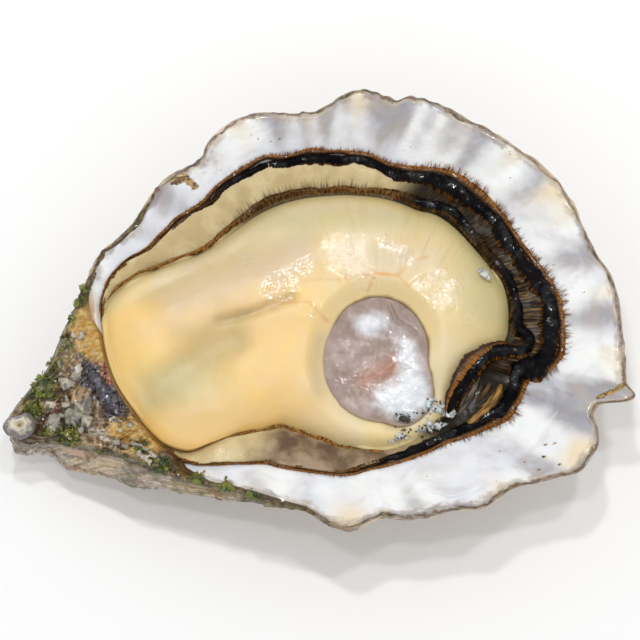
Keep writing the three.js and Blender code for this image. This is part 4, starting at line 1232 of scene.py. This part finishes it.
hair_length = by_angle([
    (-136, 0.1), (-90, 0.4), (-60, 0.7), (-45, 1.1), (-30, 1.8), (-18, 1.5), (0, 1.5), (25, 1.2),
    (45, 1.3), (60, 0.9), (90, 0.6), (130, 0.4), (174, 0.2),
])
HAIRS = 1150
chance = np.random.default_rng(7)
hair_at = np.radians(chance.uniform(STRIP_FROM, STRIP_TO, HAIRS))
root_r = margin_radius(hair_at) + fringe_width(hair_at) - 0.45 + chance.uniform(-0.3, 0.1, HAIRS)
length = hair_length(hair_at) * chance.uniform(0.35, 1.15, HAIRS)
rx, ry = on_plan(hair_at, root_r)
fx, fy = on_plan(hair_at + 0.004, margin_radius(hair_at + 0.004))
bx, by = on_plan(hair_at - 0.004, margin_radius(hair_at - 0.004))
heading = np.arctan2(fy - by, fx - bx) - math.pi / 2 + chance.normal(0, 0.3, HAIRS)
tx, ty = rx + length * np.cos(heading), ry + length * np.sin(heading)
roots = np.stack([rx, ry, cup_height_at(rx, ry) + 0.34], 1)
tips = np.stack([tx, ty, cup_height_at(tx, ty) + chance.uniform(0.12, 0.5, HAIRS)], 1)
hairs = hair_strands("fringe_tentacles", roots, tips, chance.uniform(0.04, 0.085, HAIRS))
amber = Finish("tentacle", Roughness=0.4, Coat_Weight=0.3)
amber.colour(amber.mix(amber.noise(2.0), (0.10, 0.03, 0.003), (0.36, 0.13, 0.018)))
fit(hairs, amber, "margin", "lower_mantle")

# ---- Tissue inside the curl --------------------------------------------------------------------
# Long soft folds of gill and mantle that stand on edge between the two dark bands of the curl,
# gold by the outer band and grey by the inner one, with a dark gap down the middle.

GOLD_FOLD = [
    (31.6, -11.0, 15.2, 0.8, 0.8, 0.0), (31.0, -13.2, 15.2, 1.5, 1.5, 0.0),
    (29.6, -15.8, 15.0, 1.7, 1.7, 0.0), (27.4, -18.0, 14.9, 1.6, 1.5, 0.0),
    (25.0, -20.0, 14.8, 1.3, 1.2, 0.0), (22.6, -21.4, 14.8, 0.8, 0.7, 0.0),
]
MIDDLE_FOLD = [
    (29.6, -10.2, 15.2, 0.8, 0.6, 0.0), (29.0, -12.8, 15.0, 1.2, 1.3, 0.0),
    (27.6, -15.4, 14.9, 1.3, 1.4, 0.0), (25.6, -17.6, 14.8, 1.0, 1.0, 0.0),
]
GREY_FOLD = [
    (28.0, -10.6, 15.2, 0.8, 0.7, 0.0), (26.9, -12.8, 15.2, 1.5, 1.5, 0.0),
    (25.5, -15.2, 15.1, 1.7, 1.6, 0.0), (24.0, -17.6, 15.0, 1.4, 1.2, 0.0),
    (23.2, -19.4, 15.0, 0.8, 0.6, 0.0),
]
HOOK_FOLD = [
    (34.0, -9.3, 15.6, 0.8, 0.6, 0.0), (36.2, -8.6, 15.8, 1.2, 1.2, 0.0),
    (38.0, -6.8, 15.8, 1.2, 1.2, 0.0), (38.4, -3.6, 15.6, 1.0, 1.0, 0.0),
    (38.0, -0.5, 15.6, 0.7, 0.6, 0.0),
]
for name, route, light, dark in (
    ("curl_gold_fold", GOLD_FOLD, (0.40, 0.22, 0.06), (0.10, 0.045, 0.01)),
    ("curl_middle_fold", MIDDLE_FOLD, (0.13, 0.08, 0.03), (0.012, 0.010, 0.008)),
    ("curl_grey_fold", GREY_FOLD, (0.17, 0.135, 0.09), (0.022, 0.019, 0.016)),
    ("hook_fold", HOOK_FOLD, (0.20, 0.11, 0.03), (0.012, 0.008, 0.004)),
):
    fold = ruffled_band(name, route, 0.9, 0.06, 121 + len(name))
    silk = Finish(name, Roughness=0.4, Coat_Weight=0.2, Coat_Roughness=0.04,
                  Specular_IOR_Level=0.06)
    lengthwise = silk.noise(1.0, detail=3, vector=silk.vector(
        silk.times(silk.field("along"), 0.35), silk.times(silk.field("over"), 2.2)))
    silk.colour(silk.mix(silk.band(lengthwise, 0.4, 0.62), dark, light))
    silk.bump((lengthwise, 0.2))
    fit(fold, silk, "mantle", "lower_mantle")

# ---- Torn tissue by the muscle -----------------------------------------------------------------
# Scraps of white connective tissue and dark crumbs, left along the muscle's lower right edge
# where the knife went through, and strung out over the margin in front.


def top_height(x, y):
    """Height of what lies at a spot: the muscle's cut, the body, or the margin beyond them."""
    in_muscle = np.hypot(x - MUSCLE_AT[0], y - MUSCLE_AT[1]) < muscle_radius(
        np.arctan2(y - MUSCLE_AT[1], x - MUSCLE_AT[0]))
    angle, radius = to_polar(x, y)
    beyond = np.maximum(cup_height(angle, radius) + 1.3, 15.4)
    beside_muscle = np.where(radius < body_radius(angle), body_height(x, y), beyond)
    return np.where(in_muscle, 16.9, beside_muscle)


def lumps(name, centres, sizes, flat, seed, roughness=0.3, rows=9, columns=14):
    """Small rough lumps, each a warped ball, as one mesh."""
    v, u = np.meshgrid(np.linspace(0, math.pi, rows), np.arange(columns) / columns * TURN,
                       indexing="ij")
    ball = np.stack([np.sin(v) * np.cos(u), np.sin(v) * np.sin(u), np.cos(v)], 2).reshape(-1, 3)
    quads = []
    for i in range(rows - 1):
        for j in range(columns):
            j2 = (j + 1) % columns
            quads.append((i * columns + j, (i + 1) * columns + j, (i + 1) * columns + j2))
            quads.append((i * columns + j, (i + 1) * columns + j2, i * columns + j2))
    quads = np.array(quads)
    dice = np.random.default_rng(seed)
    vertices, faces = [], []
    for n, (centre, size) in enumerate(zip(centres, sizes)):
        turn = dice.uniform(0, TURN)
        stretch = dice.uniform(0.6, 1.5)
        wobble = 1 + roughness * grain(ball[:, 0] * 3 + n * 7.1, ball[:, 1] * 3 + ball[:, 2] * 2,
                                       1.3, seed)
        shape = ball * wobble[:, None] * np.array([stretch, 1 / stretch, flat])
        x = shape[:, 0] * math.cos(turn) - shape[:, 1] * math.sin(turn)
        y = shape[:, 0] * math.sin(turn) + shape[:, 1] * math.cos(turn)
        vertices.append(centre + size * np.stack([x, y, shape[:, 2]], 1))
        faces.append(quads + n * len(ball))
    place = (np.concatenate(vertices) + OWN_TO_FRAME) * 0.001
    first, triangles = weld(place, np.concatenate(faces))
    return as_piece(name, place[first], triangles.tolist())


def scattered(route, count, spread, seed, lift=0.0):
    """Spots strewn about a route, at the height of what lies there."""
    dice = np.random.default_rng(seed)
    path = along_path([(a, b, 0) for a, b in route], 0.1)
    pick = dice.integers(0, len(path), count)
    x = path[pick, 0] + dice.normal(0, spread, count)
    y = path[pick, 1] + dice.normal(0, spread, count)
    return np.stack([x, y, top_height(x, y) + lift], 1), dice


SCRAP_ROUTE = [(12.0, -18.6), (15.5, -18.4), (18.4, -17.2), (20.6, -17.0), (22.8, -18.2)]
FRONT_SCRAPS = [(12.5, -22.4), (14.5, -21.7), (18.0, -20.6), (21.0, -19.6)]
spots, dice = scattered(SCRAP_ROUTE, 110, 0.75, 131, -0.08)
more, _ = scattered(FRONT_SCRAPS, 44, 0.4, 132, -0.08)
spots = np.concatenate([spots, more, [[28.2, 5.6, 17.9], [27.6, 6.2, 17.9], [28.9, 5.0, 17.6]]])
scrap_sizes = np.concatenate([0.12 + 0.55 * dice.uniform(0, 1, 154) ** 2.4, [0.7, 0.45, 0.5]])
scraps = lumps("white_scraps", spots, scrap_sizes, 0.4, 133, 0.5, 8, 12)
curds = Finish("torn_tissue", Roughness=0.35, Coat_Weight=0.6, Coat_Roughness=0.04,
               Subsurface_Weight=0.3, Subsurface_Scale=0.0008)
curds.colour(curds.mix(curds.band(curds.noise(1.2, detail=3), 0.4, 0.6), (0.30, 0.29, 0.27),
                       (0.66, 0.67, 0.68)))
curds.bump((curds.noise(0.5, detail=2), 0.15))
fit(scraps, curds, "muscle", "adductor_muscle")

spots, dice = scattered(SCRAP_ROUTE, 42, 0.8, 134, 0.15)
more, _ = scattered(FRONT_SCRAPS, 42, 0.55, 135, 0.15)
mouth = np.array([[14.6, -19.3, 17.35], [15.1, -19.4, 17.35], [14.2, -19.1, 17.3]])
spots = np.concatenate([spots, more, mouth])
crumb_sizes = np.concatenate([dice.uniform(0.07, 0.22, 84), [0.62, 0.5, 0.45]])
crumbs = lumps("dark_crumbs", spots, crumb_sizes, 0.6, 136, 0.8, 6, 9)
soot = Finish("dark_crumb", Roughness=0.3, Coat_Weight=0.5, Coat_Roughness=0.05)
soot.colour(soot.mix(soot.noise(1.0), (0.004, 0.004, 0.004), (0.04, 0.025, 0.012)))
fit(crumbs, soot, "muscle", "adductor_muscle")

# ---- The hinge crust ---------------------------------------------------------------------------
# The hinge end of the valve: rough growth layers of the hinge plate, stained orange, grey, purple,
# pink and green. They run up round the back of the cup, and along its front as a low ragged edge.

CRUST_FROM = 148
CRUST_TO = 266
CRUST_SPOKES = 540
CRUST_RINGS = 98
crust_front = by_angle([
    (215, 38.5), (222, 37.2), (227, 36.6), (232, 36.2), (241, 35.2), (250, 34.4), (262, 35.2),
    (0, 36), (90, 36),
])


def crust_points():
    """Rough layers from the body's edge, or from near the rim, out over the rim and back under."""
    spokes = np.radians(np.linspace(CRUST_FROM, CRUST_TO, CRUST_SPOKES))[:, None]
    degrees = np.degrees(spokes)
    ends = smoothstep(degrees, CRUST_FROM, CRUST_FROM + 14)
    ends = ends * smoothstep(-degrees, -CRUST_TO, -CRUST_TO + 14)
    plate = smoothstep(degrees, 175, 188) * smoothstep(-degrees, -229, -221)
    edges = np.where(degrees < 200, rim_radius(spokes) - 1.0, crust_front(spokes))
    inner = lerp(edges, body_radius(spokes) + 0.2, plate)
    inner = lerp(rim_radius(spokes) - 0.4, np.minimum(inner, rim_radius(spokes) - 0.9), ends)
    outer = ragged_rim(spokes, -0.15)
    t = np.linspace(0, 1, CRUST_RINGS)[None, :]
    radii = lerp(inner, outer, t)
    x, y = on_plan(spokes, radii)
    width = outer - inner
    from_inner = t * width
    from_outer = (1 - t) * width
    slope_in = 1.2 + 1.3 * smoothstep(degrees, 216, 226)
    cover = smoothstep(from_inner, 0, slope_in) * (0.3 + 0.7 * smoothstep(from_outer, 0, 0.8))
    ridged = 1 - np.abs(rough(x, y, 5.0, 141, 4)) * 1.4
    layers = np.sin(TURN * (from_outer + 0.9 * rough(x, y, 4, 142)) / 1.5)
    lumpy = 0.9 * np.maximum(rough(x, y, 3.4, 143, 3), 0) + 0.5 * np.maximum(
        grain(x, y, 1.3, 144), 0)
    pits = 0.5 * smoothstep(grain(x, y, 0.9, 145), 0.4, 0.8)
    relief = 0.5 * ridged + 0.16 * layers + lumpy - pits + 0.12 * rough(x, y, 0.6, 146, 2)
    plain = smoothstep(degrees, 192, 182) + smoothstep(degrees, 218, 226)
    relief = relief * (1 - 0.6 * np.clip(plain, 0, 1) * smoothstep(from_outer, 0.5, 2.0))
    z = cup_height(spokes, radii) + 0.12 + cover * (0.25 + relief) * (0.35 + 0.65 * ends)
    lip = 0.5 * np.exp(-(from_outer / 0.5) ** 2)
    z = z - lip
    back_t = np.array([[1.0, 0.97, 0.5, 0.0]])
    back = lerp(inner, outer, back_t)
    back_z = cup_height(spokes, back) - np.array([[1.6, 1.8, 0.7, 0.6]])
    bx, by = on_plan(spokes, back)
    points = np.stack([np.concatenate([x, bx], 1), np.concatenate([y, by], 1),
                       np.concatenate([z, back_z], 1)], 2)

    def pad(field):
        return np.concatenate([field, np.repeat(field[:, -1:], back_t.size, 1)], 1)

    return (points, pad(relief * cover), pad(from_inner), pad(from_outer),
            pad(spokes + 0 * radii), pad(plate + 0 * radii))


points, relief, from_inner, from_outer, spoke, plate = crust_points()
x, y = points[..., 0], points[..., 1]
crust = skin("hinge_crust", points, {
    "relief": relief,
    "from_inner": from_inner,
    "from_outer": from_outer,
    "spoke": spoke,
    "plate": plate,
    "orange": near_spots(x, y, [(-38.6, -2.5, 3.2, 1.2), (-38.0, -6.0, 3.0, 1.1),
                                (-37.2, -8.4, 1.6, 0.8), (-31, -22, 3.0, 0.9),
                                (-28.5, -25, 2.6, 0.8), (-34, -20.5, 2.2, 0.5)]),
    "weed": near_spots(x, y, [(-46.6, -13.6, 2.5, 1.3), (-48.6, -17.6, 1.8, 1.1),
                              (-42.3, -6.5, 2.0, 0.8), (-39.5, 1.4, 2.2, 0.9),
                              (-40.2, -17.6, 1.5, 0.9), (-42, -22.0, 2.2, 0.8),
                              (-29, -26.5, 2.6, 0.9), (-24, -28.5, 2.2, 0.8),
                              (-43.5, -21.0, 1.6, 0.9), (-17, -31, 2.5, 0.8),
                              (-44.2, -9.8, 1.6, 0.5)]),
    "pink": near_spots(x, y, [(-44.4, -16.9, 1.0, 1.2), (-43.8, -13.5, 0.9, 0.7),
                              (-35.7, -11.0, 0.9, 1.8), (-36.3, -9.8, 0.8, 1.5),
                              (-35.1, -12.4, 0.8, 1.5), (-33.5, -27.5, 1.6, 0.6)]),
    "purple": near_spots(x, y, [(-38.2, -10.6, 1.8, 1.2), (-36.6, -14.0, 2.0, 1.3),
                                (-34.4, -17.4, 2.0, 1.2), (-40, -12.5, 1.5, 0.5),
                                (-38.5, -20.0, 1.6, 0.5)]),
}, around=False, looped=True)

rock = Finish("hinge_layers", Roughness=0.45, Coat_Weight=0.7, Coat_Roughness=0.04, Coat_IOR=1.7,
              Specular_IOR_Level=0.1)
big = rock.noise(3.6, detail=5, distortion=0.9)
small = rock.noise(0.9, detail=4, distortion=0.5)
tiny = rock.noise(0.35, detail=3)
tone = rock.mix(rock.band(big, 0.36, 0.62), (0.15, 0.08, 0.03), (0.70, 0.49, 0.28))
for size, twist, low, high, most, patch in (
    (2.6, 1.0, 0.55, 0.66, 0.8, (0.74, 0.71, 0.66)),
    (2.9, 1.2, 0.54, 0.68, 0.75, (0.10, 0.08, 0.10)),
    (2.2, 1.2, 0.56, 0.66, 0.8, (0.36, 0.17, 0.04)),
):
    spread = rock.noise(size, detail=4, distortion=twist)
    tone = rock.mix(rock.band(spread, low, high, 0.0, most), tone, patch)

gold_rays = rock.noise(1.0, detail=3, vector=rock.vector(
    rock.times(rock.field("spoke"), 55.0), rock.times(rock.field("from_inner"), 0.35)))
gold = rock.mix(rock.band(gold_rays, 0.4, 0.62), (0.60, 0.31, 0.05), (0.72, 0.50, 0.19))
gold = rock.mix(rock.band(gold_rays, 0.40, 0.34), gold, (0.06, 0.025, 0.006))
purple = rock.mix(rock.band(tiny, 0.42, 0.6), (0.016, 0.015, 0.022), (0.27, 0.25, 0.31))
pink = rock.mix(rock.band(small, 0.4, 0.6), (0.60, 0.20, 0.11), (0.74, 0.38, 0.27))
moss = rock.mix(rock.band(tiny, 0.38, 0.6), (0.018, 0.032, 0.003), (0.19, 0.21, 0.025))
# Each stain has a ragged edge, from the fine noise.
for stain, low, high, shade in (
    ("orange", 0.35, 0.75, gold), ("purple", 0.35, 0.8, purple), ("pink", 0.4, 0.8, pink),
    ("weed", 0.35, 0.75, moss),
):
    share = rock.sum(rock.field(stain), rock.times(rock.centred(small), 2.6))
    tone = rock.mix(rock.band(share, low, high), tone, shade)
tone = rock.mix(rock.band(small, 0.50, 0.36, 0.0, 0.7), tone, (0.06, 0.035, 0.012))
# Painted shade in the low spots between the lumps.
low_spot_shade = rock.band(rock.sum(rock.field("relief"), rock.times(small, 0.5)), 0.9, 0.3)
tone = rock.mix(rock.times(low_spot_shade, 0.85), tone, (0.04, 0.022, 0.008))
tone = rock.mix(rock.band(rock.field("orange"), 0.3, 0.85, 0.0, 0.75), tone, gold)
brink = rock.band(rock.less(rock.field("from_outer"), rock.times(big, 2.2)), 0.3, -0.8)
brink_tone = rock.mix(rock.band(small, 0.42, 0.6), (0.07, 0.035, 0.01), (0.20, 0.16, 0.04))
tone = rock.mix(rock.times(brink, 0.8), tone, brink_tone)
seam = rock.band(rock.less(rock.field("from_inner"), rock.times(small, 0.8)), 0.25, -0.1)
tone = rock.mix(rock.times(seam, rock.field("plate")), tone, (0.36, 0.19, 0.045))
rock.colour(tone)
rock.bump((small, 0.7), (tiny, 0.2))
fit(crust, rock, "crust", "shell")

# ---- The ligament ------------------------------------------------------------------------------
# The torn ligament that hinged the two valves: a ragged ridge of blue-black horny fibre, left
# standing down the right side of its groove in the hinge plate.

LIGAMENT = [
    (-39.6, -8.8, 16.6, 1.0, 0.6, 0.0), (-38.6, -10.6, 16.7, 2.3, 1.3, 0.0),
    (-37.0, -13.2, 16.6, 2.5, 1.4, 0.0), (-35.6, -15.6, 16.5, 2.7, 1.5, 0.0),
    (-34.2, -18.0, 16.4, 2.3, 1.2, 0.0), (-32.6, -19.8, 16.4, 1.2, 0.6, 0.0),
]
ligament = ruffled_band("ligament", LIGAMENT, 0.8, 0.3, 151)
horn = Finish("ligament_fibre", Roughness=0.35, Coat_Weight=0.7, Coat_Roughness=0.08)
knots = horn.noise(0.8, detail=4)
tone = horn.mix(horn.band(knots, 0.42, 0.62), (0.010, 0.010, 0.014), (0.09, 0.08, 0.115))
tone = horn.mix(horn.band(horn.noise(0.7, detail=4), 0.58, 0.7), tone, (0.40, 0.38, 0.44))
tone = horn.mix(horn.band(horn.noise(2.4, detail=3), 0.56, 0.66, 0.0, 0.8), tone, (0.30, 0.22, 0.15))
horn.colour(tone)
horn.bump((knots, 0.5), (horn.noise(0.3, detail=3), 0.2))
fit(ligament, horn, "ligament", "ligament")

# ---- The barnacle on the beak ------------------------------------------------------------------
# A small worn barnacle, cemented to the very tip of the beak: a whitish ring of limy plates
# round a small dark mouth, on a grey base.

KNOB_AT = np.array([-50.2, -20.3])
KNOB_SPOKES = 120
KNOB_RINGS = 44


def knob_points():
    """A low dome with a ring and a mouth on it, drawn in to a foot inside the beak."""
    turn = (np.arange(KNOB_SPOKES) / KNOB_SPOKES * TURN)[:, None]
    share = np.linspace(0, 1, KNOB_RINGS)[None, :]
    reach = 2.3 + 0.3 * np.sin(2 * turn + 1) + 0.4 * grain(turn * 4 / TURN * 3, 0 * turn, 1, 161)
    r = share * reach
    x, y = KNOB_AT[0] + r * np.cos(turn), KNOB_AT[1] + r * np.sin(turn)
    ring = np.exp(-(((share - 0.42) / 0.13) ** 2))
    dome = 1.6 * (1 - share**2.4)
    mouth = 0.9 * np.exp(-((share / 0.24) ** 2))
    z = 16.6 + dome + 0.45 * ring - mouth + 0.22 * rough(x, y, 1.3, 162)
    under = np.array([[0.96, 0.9, 0.75, 0.4, 0.0]])
    ux, uy = KNOB_AT[0] + under * reach * np.cos(turn), KNOB_AT[1] + under * reach * np.sin(turn)
    uz = 0 * ux + np.array([[15.4, 13.8, 12.4, 11.8, 11.8]])
    points = np.stack([np.concatenate([x, ux], 1), np.concatenate([y, uy], 1),
                       np.concatenate([z, uz], 1)], 2)
    return points, np.concatenate([share + 0 * x, 1 + 0 * ux], 1)


points, share = knob_points()
knob = skin("barnacle", points, {"outwards": share})
lime = Finish("barnacle_plates", Roughness=0.5, Coat_Weight=0.6, Coat_Roughness=0.12)
freckle = lime.noise(0.9, detail=4)
tone = lime.mix(lime.band(lime.sum(lime.field("outwards"), lime.times(freckle, 1.1)), 0.95, 1.4),
                (0.72, 0.66, 0.52), (0.17, 0.15, 0.145))
tone = lime.mix(lime.band(lime.field("outwards"), 0.2, 0.08), tone, (0.30, 0.22, 0.10))
lime.colour(tone)
lime.bump((freckle, 0.4), (lime.noise(0.3, detail=2), 0.1))
fit(knob, lime, "crust", "barnacle")

# ---- The cemented lumps ------------------------------------------------------------------------
# Bits of old shell and worm tube, grey, olive and purple-grey, that have grown on to the hinge
# plate: nine large ones, each in its place, and small ones strewn between them.

STREWN_LUMPS = 90
LUMPS = [
    (-40.0, -17.0, 1.9), (-41.5, -19.0, 1.4), (-44.6, -19.6, 1.6), (-42.6, -12.8, 1.3),
    (-40.8, -11.0, 1.2), (-38.6, -19.6, 1.3), (-45.6, -16.4, 1.0), (-36.8, -21.6, 1.3),
    (-43.4, -9.6, 1.0),
]
dice = np.random.default_rng(171)
spot_list = [(a, b, float(cup_height_at(np.array(a), np.array(b))) + 0.55, size)
             for a, b, size in LUMPS]
for _ in range(STREWN_LUMPS):
    a = math.radians(dice.uniform(186, 222))
    r = dice.uniform(float(hinge_edge(a)) + 1.0, float(rim_radius(a)) - 0.8)
    px, py = on_plan(a, r)
    spot_list.append((px, py, float(cup_height(a, r)) + 0.9, dice.uniform(0.15, 0.6)))
spot_list = np.array(spot_list)
nodules = lumps("cemented_lumps", spot_list[:, :3], spot_list[:, 3], 0.75, 172, 0.5)
pebble = Finish("old_shell", Roughness=0.45, Coat_Weight=0.7, Coat_Roughness=0.1)
tone = pebble.mix(pebble.band(pebble.noise(2.4, detail=4), 0.4, 0.6), (0.30, 0.27, 0.23),
                  (0.56, 0.50, 0.39))
tone = pebble.mix(pebble.band(pebble.noise(1.3, detail=3, distortion=0.8), 0.55, 0.66), tone,
                  (0.14, 0.16, 0.05))
tone = pebble.mix(pebble.band(pebble.noise(1.7, detail=3), 0.58, 0.68), tone, (0.13, 0.11, 0.15))
pebble.colour(tone)
pebble.bump((pebble.noise(0.7, detail=4), 0.4), (pebble.noise(0.25, detail=2), 0.1))
fit(nodules, pebble, "crust", "nodule_1", "nodule_2")

# ---- Green weed --------------------------------------------------------------------------------
# Tufts of fine green and brown weed and cushions of moss-like weed, rooted in the crust at the
# hinge and along the lower rim.

# Each tuft: x, y, reach, number of blades.
TUFTS = [
    (-46.6, -13.6, 1.9, 200), (-48.6, -17.4, 1.3, 110), (-42.3, -6.5, 1.2, 60),
    (-39.4, 2.6, 0.5, 40), (-40.4, 0.4, 0.55, 50), (-41.6, -2.2, 0.5, 40), (-40.2, -17.8, 0.8, 50),
    (-42.0, -21.8, 1.7, 110), (-30.4, -24.4, 1.2, 90), (-26.5, -27.2, 1.2, 110),
    (-20.2, -29.6, 1.0, 90), (-15.3, -31.0, 0.9, 80), (-36.5, -23.8, 1.2, 70),
    (-44.4, -9.6, 0.9, 40), (-10.9, -33.0, 0.9, 60), (-45.6, -20.8, 1.0, 50),
]
dice = np.random.default_rng(181)
roots, tips = [], []
for cx, cy, reach, count in TUFTS:
    x, y = cx + dice.normal(0, reach * 0.6, count), cy + dice.normal(0, reach * 0.6, count)
    angle, radius = to_polar(x, y)
    radius = np.minimum(radius, rim_radius(angle) + 0.3)
    x, y = on_plan(angle, radius)
    z = cup_height(angle, radius) + 0.5
    lean = dice.uniform(0, TURN, count)
    run = dice.uniform(0.25, 0.8, count)
    roots.append(np.stack([x, y, z], 1))
    tips.append(np.stack([x + run * np.cos(lean), y + run * np.sin(lean),
                          z + dice.uniform(0.1, 0.6, count)], 1))
roots, tips = np.concatenate(roots), np.concatenate(tips)
weed = hair_strands("green_weed", roots, tips, dice.uniform(0.05, 0.14, len(roots)))
moss_lumps = lumps("green_moss", roots + np.array([0, 0, 0.05]),
                   0.08 + 0.34 * dice.uniform(0, 1, len(roots)) ** 2, 0.7, 182, 0.6, 5, 8)
leaf = Finish("weed", Roughness=0.35, Coat_Weight=0.8, Coat_Roughness=0.05)
leaf_tone = leaf.mix(leaf.band(leaf.noise(1.6, detail=2), 0.4, 0.6), (0.018, 0.04, 0.003),
                     (0.20, 0.22, 0.015))
leaf.colour(leaf.mix(leaf.band(leaf.noise(2.8, detail=2), 0.52, 0.62), leaf_tone, (0.24, 0.17, 0.03)))
leaf.bump((leaf.noise(0.4, detail=2), 0.12))
fit(weed, leaf, "crust", "shell")
fit(moss_lumps, leaf, "crust", "shell")

# ---- The fold below the body -------------------------------------------------------------------
# The free edge of the upper lobe at the front: a thin brown-edged fold that lifts to a peak.

flap_width = by_angle([(-60, 0.9), (-72, 1.3), (-90, 1.1), (-108, 1.1), (-128, 0.6), (90, 1)])


def flap_route():
    """The flap, along the body's front edge."""
    route = []
    for degree in np.arange(-129, -62, 3.0):
        a = math.radians(degree)
        width = float(flap_width(a))
        r = float(body_radius(a)) + 0.5 * width
        px, py = on_plan(a, r)
        route.append((px, py, float(body_edge_height(a)) - 0.2, width, 0.9, 0.75))
    return route


flap = ruffled_band("mantle_flap", flap_route(), 0.7, 0.08, 91)
fit(flap, frill, "flap", "mantle_flap")

# ---- The studio --------------------------------------------------------------------------------
# A pale table under an even white sky and four broad soft lights, with three small bright ones
# that make the wet glints. The camera looks down from the front, nearly from above.

bpy.ops.mesh.primitive_plane_add(size=4)
table = bpy.context.object
table.name = "table"
paper = Finish("pale_table", Roughness=0.8)
paper.colour(paper.mix(paper.noise(60.0), (0.93, 0.93, 0.93), (0.95, 0.95, 0.95)))
table.data.materials.append(paper.material)

world = bpy.data.worlds.new("studio")
bpy.context.scene.world = world
world.use_nodes = True
sky = world.node_tree.nodes["Background"]
sky.inputs["Color"].default_value = (1.0, 1.0, 1.0, 1.0)
sky.inputs["Strength"].default_value = 0.5


def soft_light(name, at, size, power, aim=(0.0, 0.0, 0.015)):
    """A square area light, turned to face a point."""
    data = bpy.data.lights.new(name, "AREA")
    data.size = size
    data.energy = power
    light = bpy.data.objects.new(name, data)
    light.location = at
    direction = np.array(aim) - np.array(at)
    light.rotation_euler = (
        math.atan2(math.hypot(direction[0], direction[1]), -direction[2]),
        0.0,
        math.atan2(direction[1], direction[0]) - math.pi / 2,
    )
    bpy.context.scene.collection.objects.link(light)


SOFT_LIGHTS_OUT = 0.5
SOFT_LIGHTS_UP = 0.5
KEY_LIGHTS_UP = 0.6
# The small lights: x, y, power in watts.
KEY_LIGHTS = [(-0.05, 0.19, 0.75), (0.09, 0.12, 0.5), (-0.06, 0.02, 0.35)]
for k in range(4):
    way = math.radians(45 + 90 * k)
    at = (SOFT_LIGHTS_OUT * math.cos(way), SOFT_LIGHTS_OUT * math.sin(way), SOFT_LIGHTS_UP)
    soft_light(f"soft_{k + 1}", at, 0.6, 0.4)
for k, (px, py, power) in enumerate(KEY_LIGHTS):
    soft_light(f"key_{k + 1}", (px, py, KEY_LIGHTS_UP), 0.03, power)

camera_data = bpy.data.cameras.new("camera")
camera_data.lens = 150
camera_data.sensor_width = 36
camera = bpy.data.objects.new("camera", camera_data)
bpy.context.scene.collection.objects.link(camera)
TILT = math.radians(80)
DISTANCE = 0.4533
aim = np.array([
    (0.34 + OWN_TO_FRAME[0]) * 0.001, (-2.07 + OWN_TO_FRAME[1]) * 0.001, 0.016,
])
camera.location = aim + DISTANCE * np.array([0.0, -math.cos(TILT), math.sin(TILT)])
camera.rotation_euler = (math.pi / 2 - TILT, 0.0, 0.0)
bpy.context.scene.camera = camera
bpy.context.scene.view_settings.view_transform = "Standard"
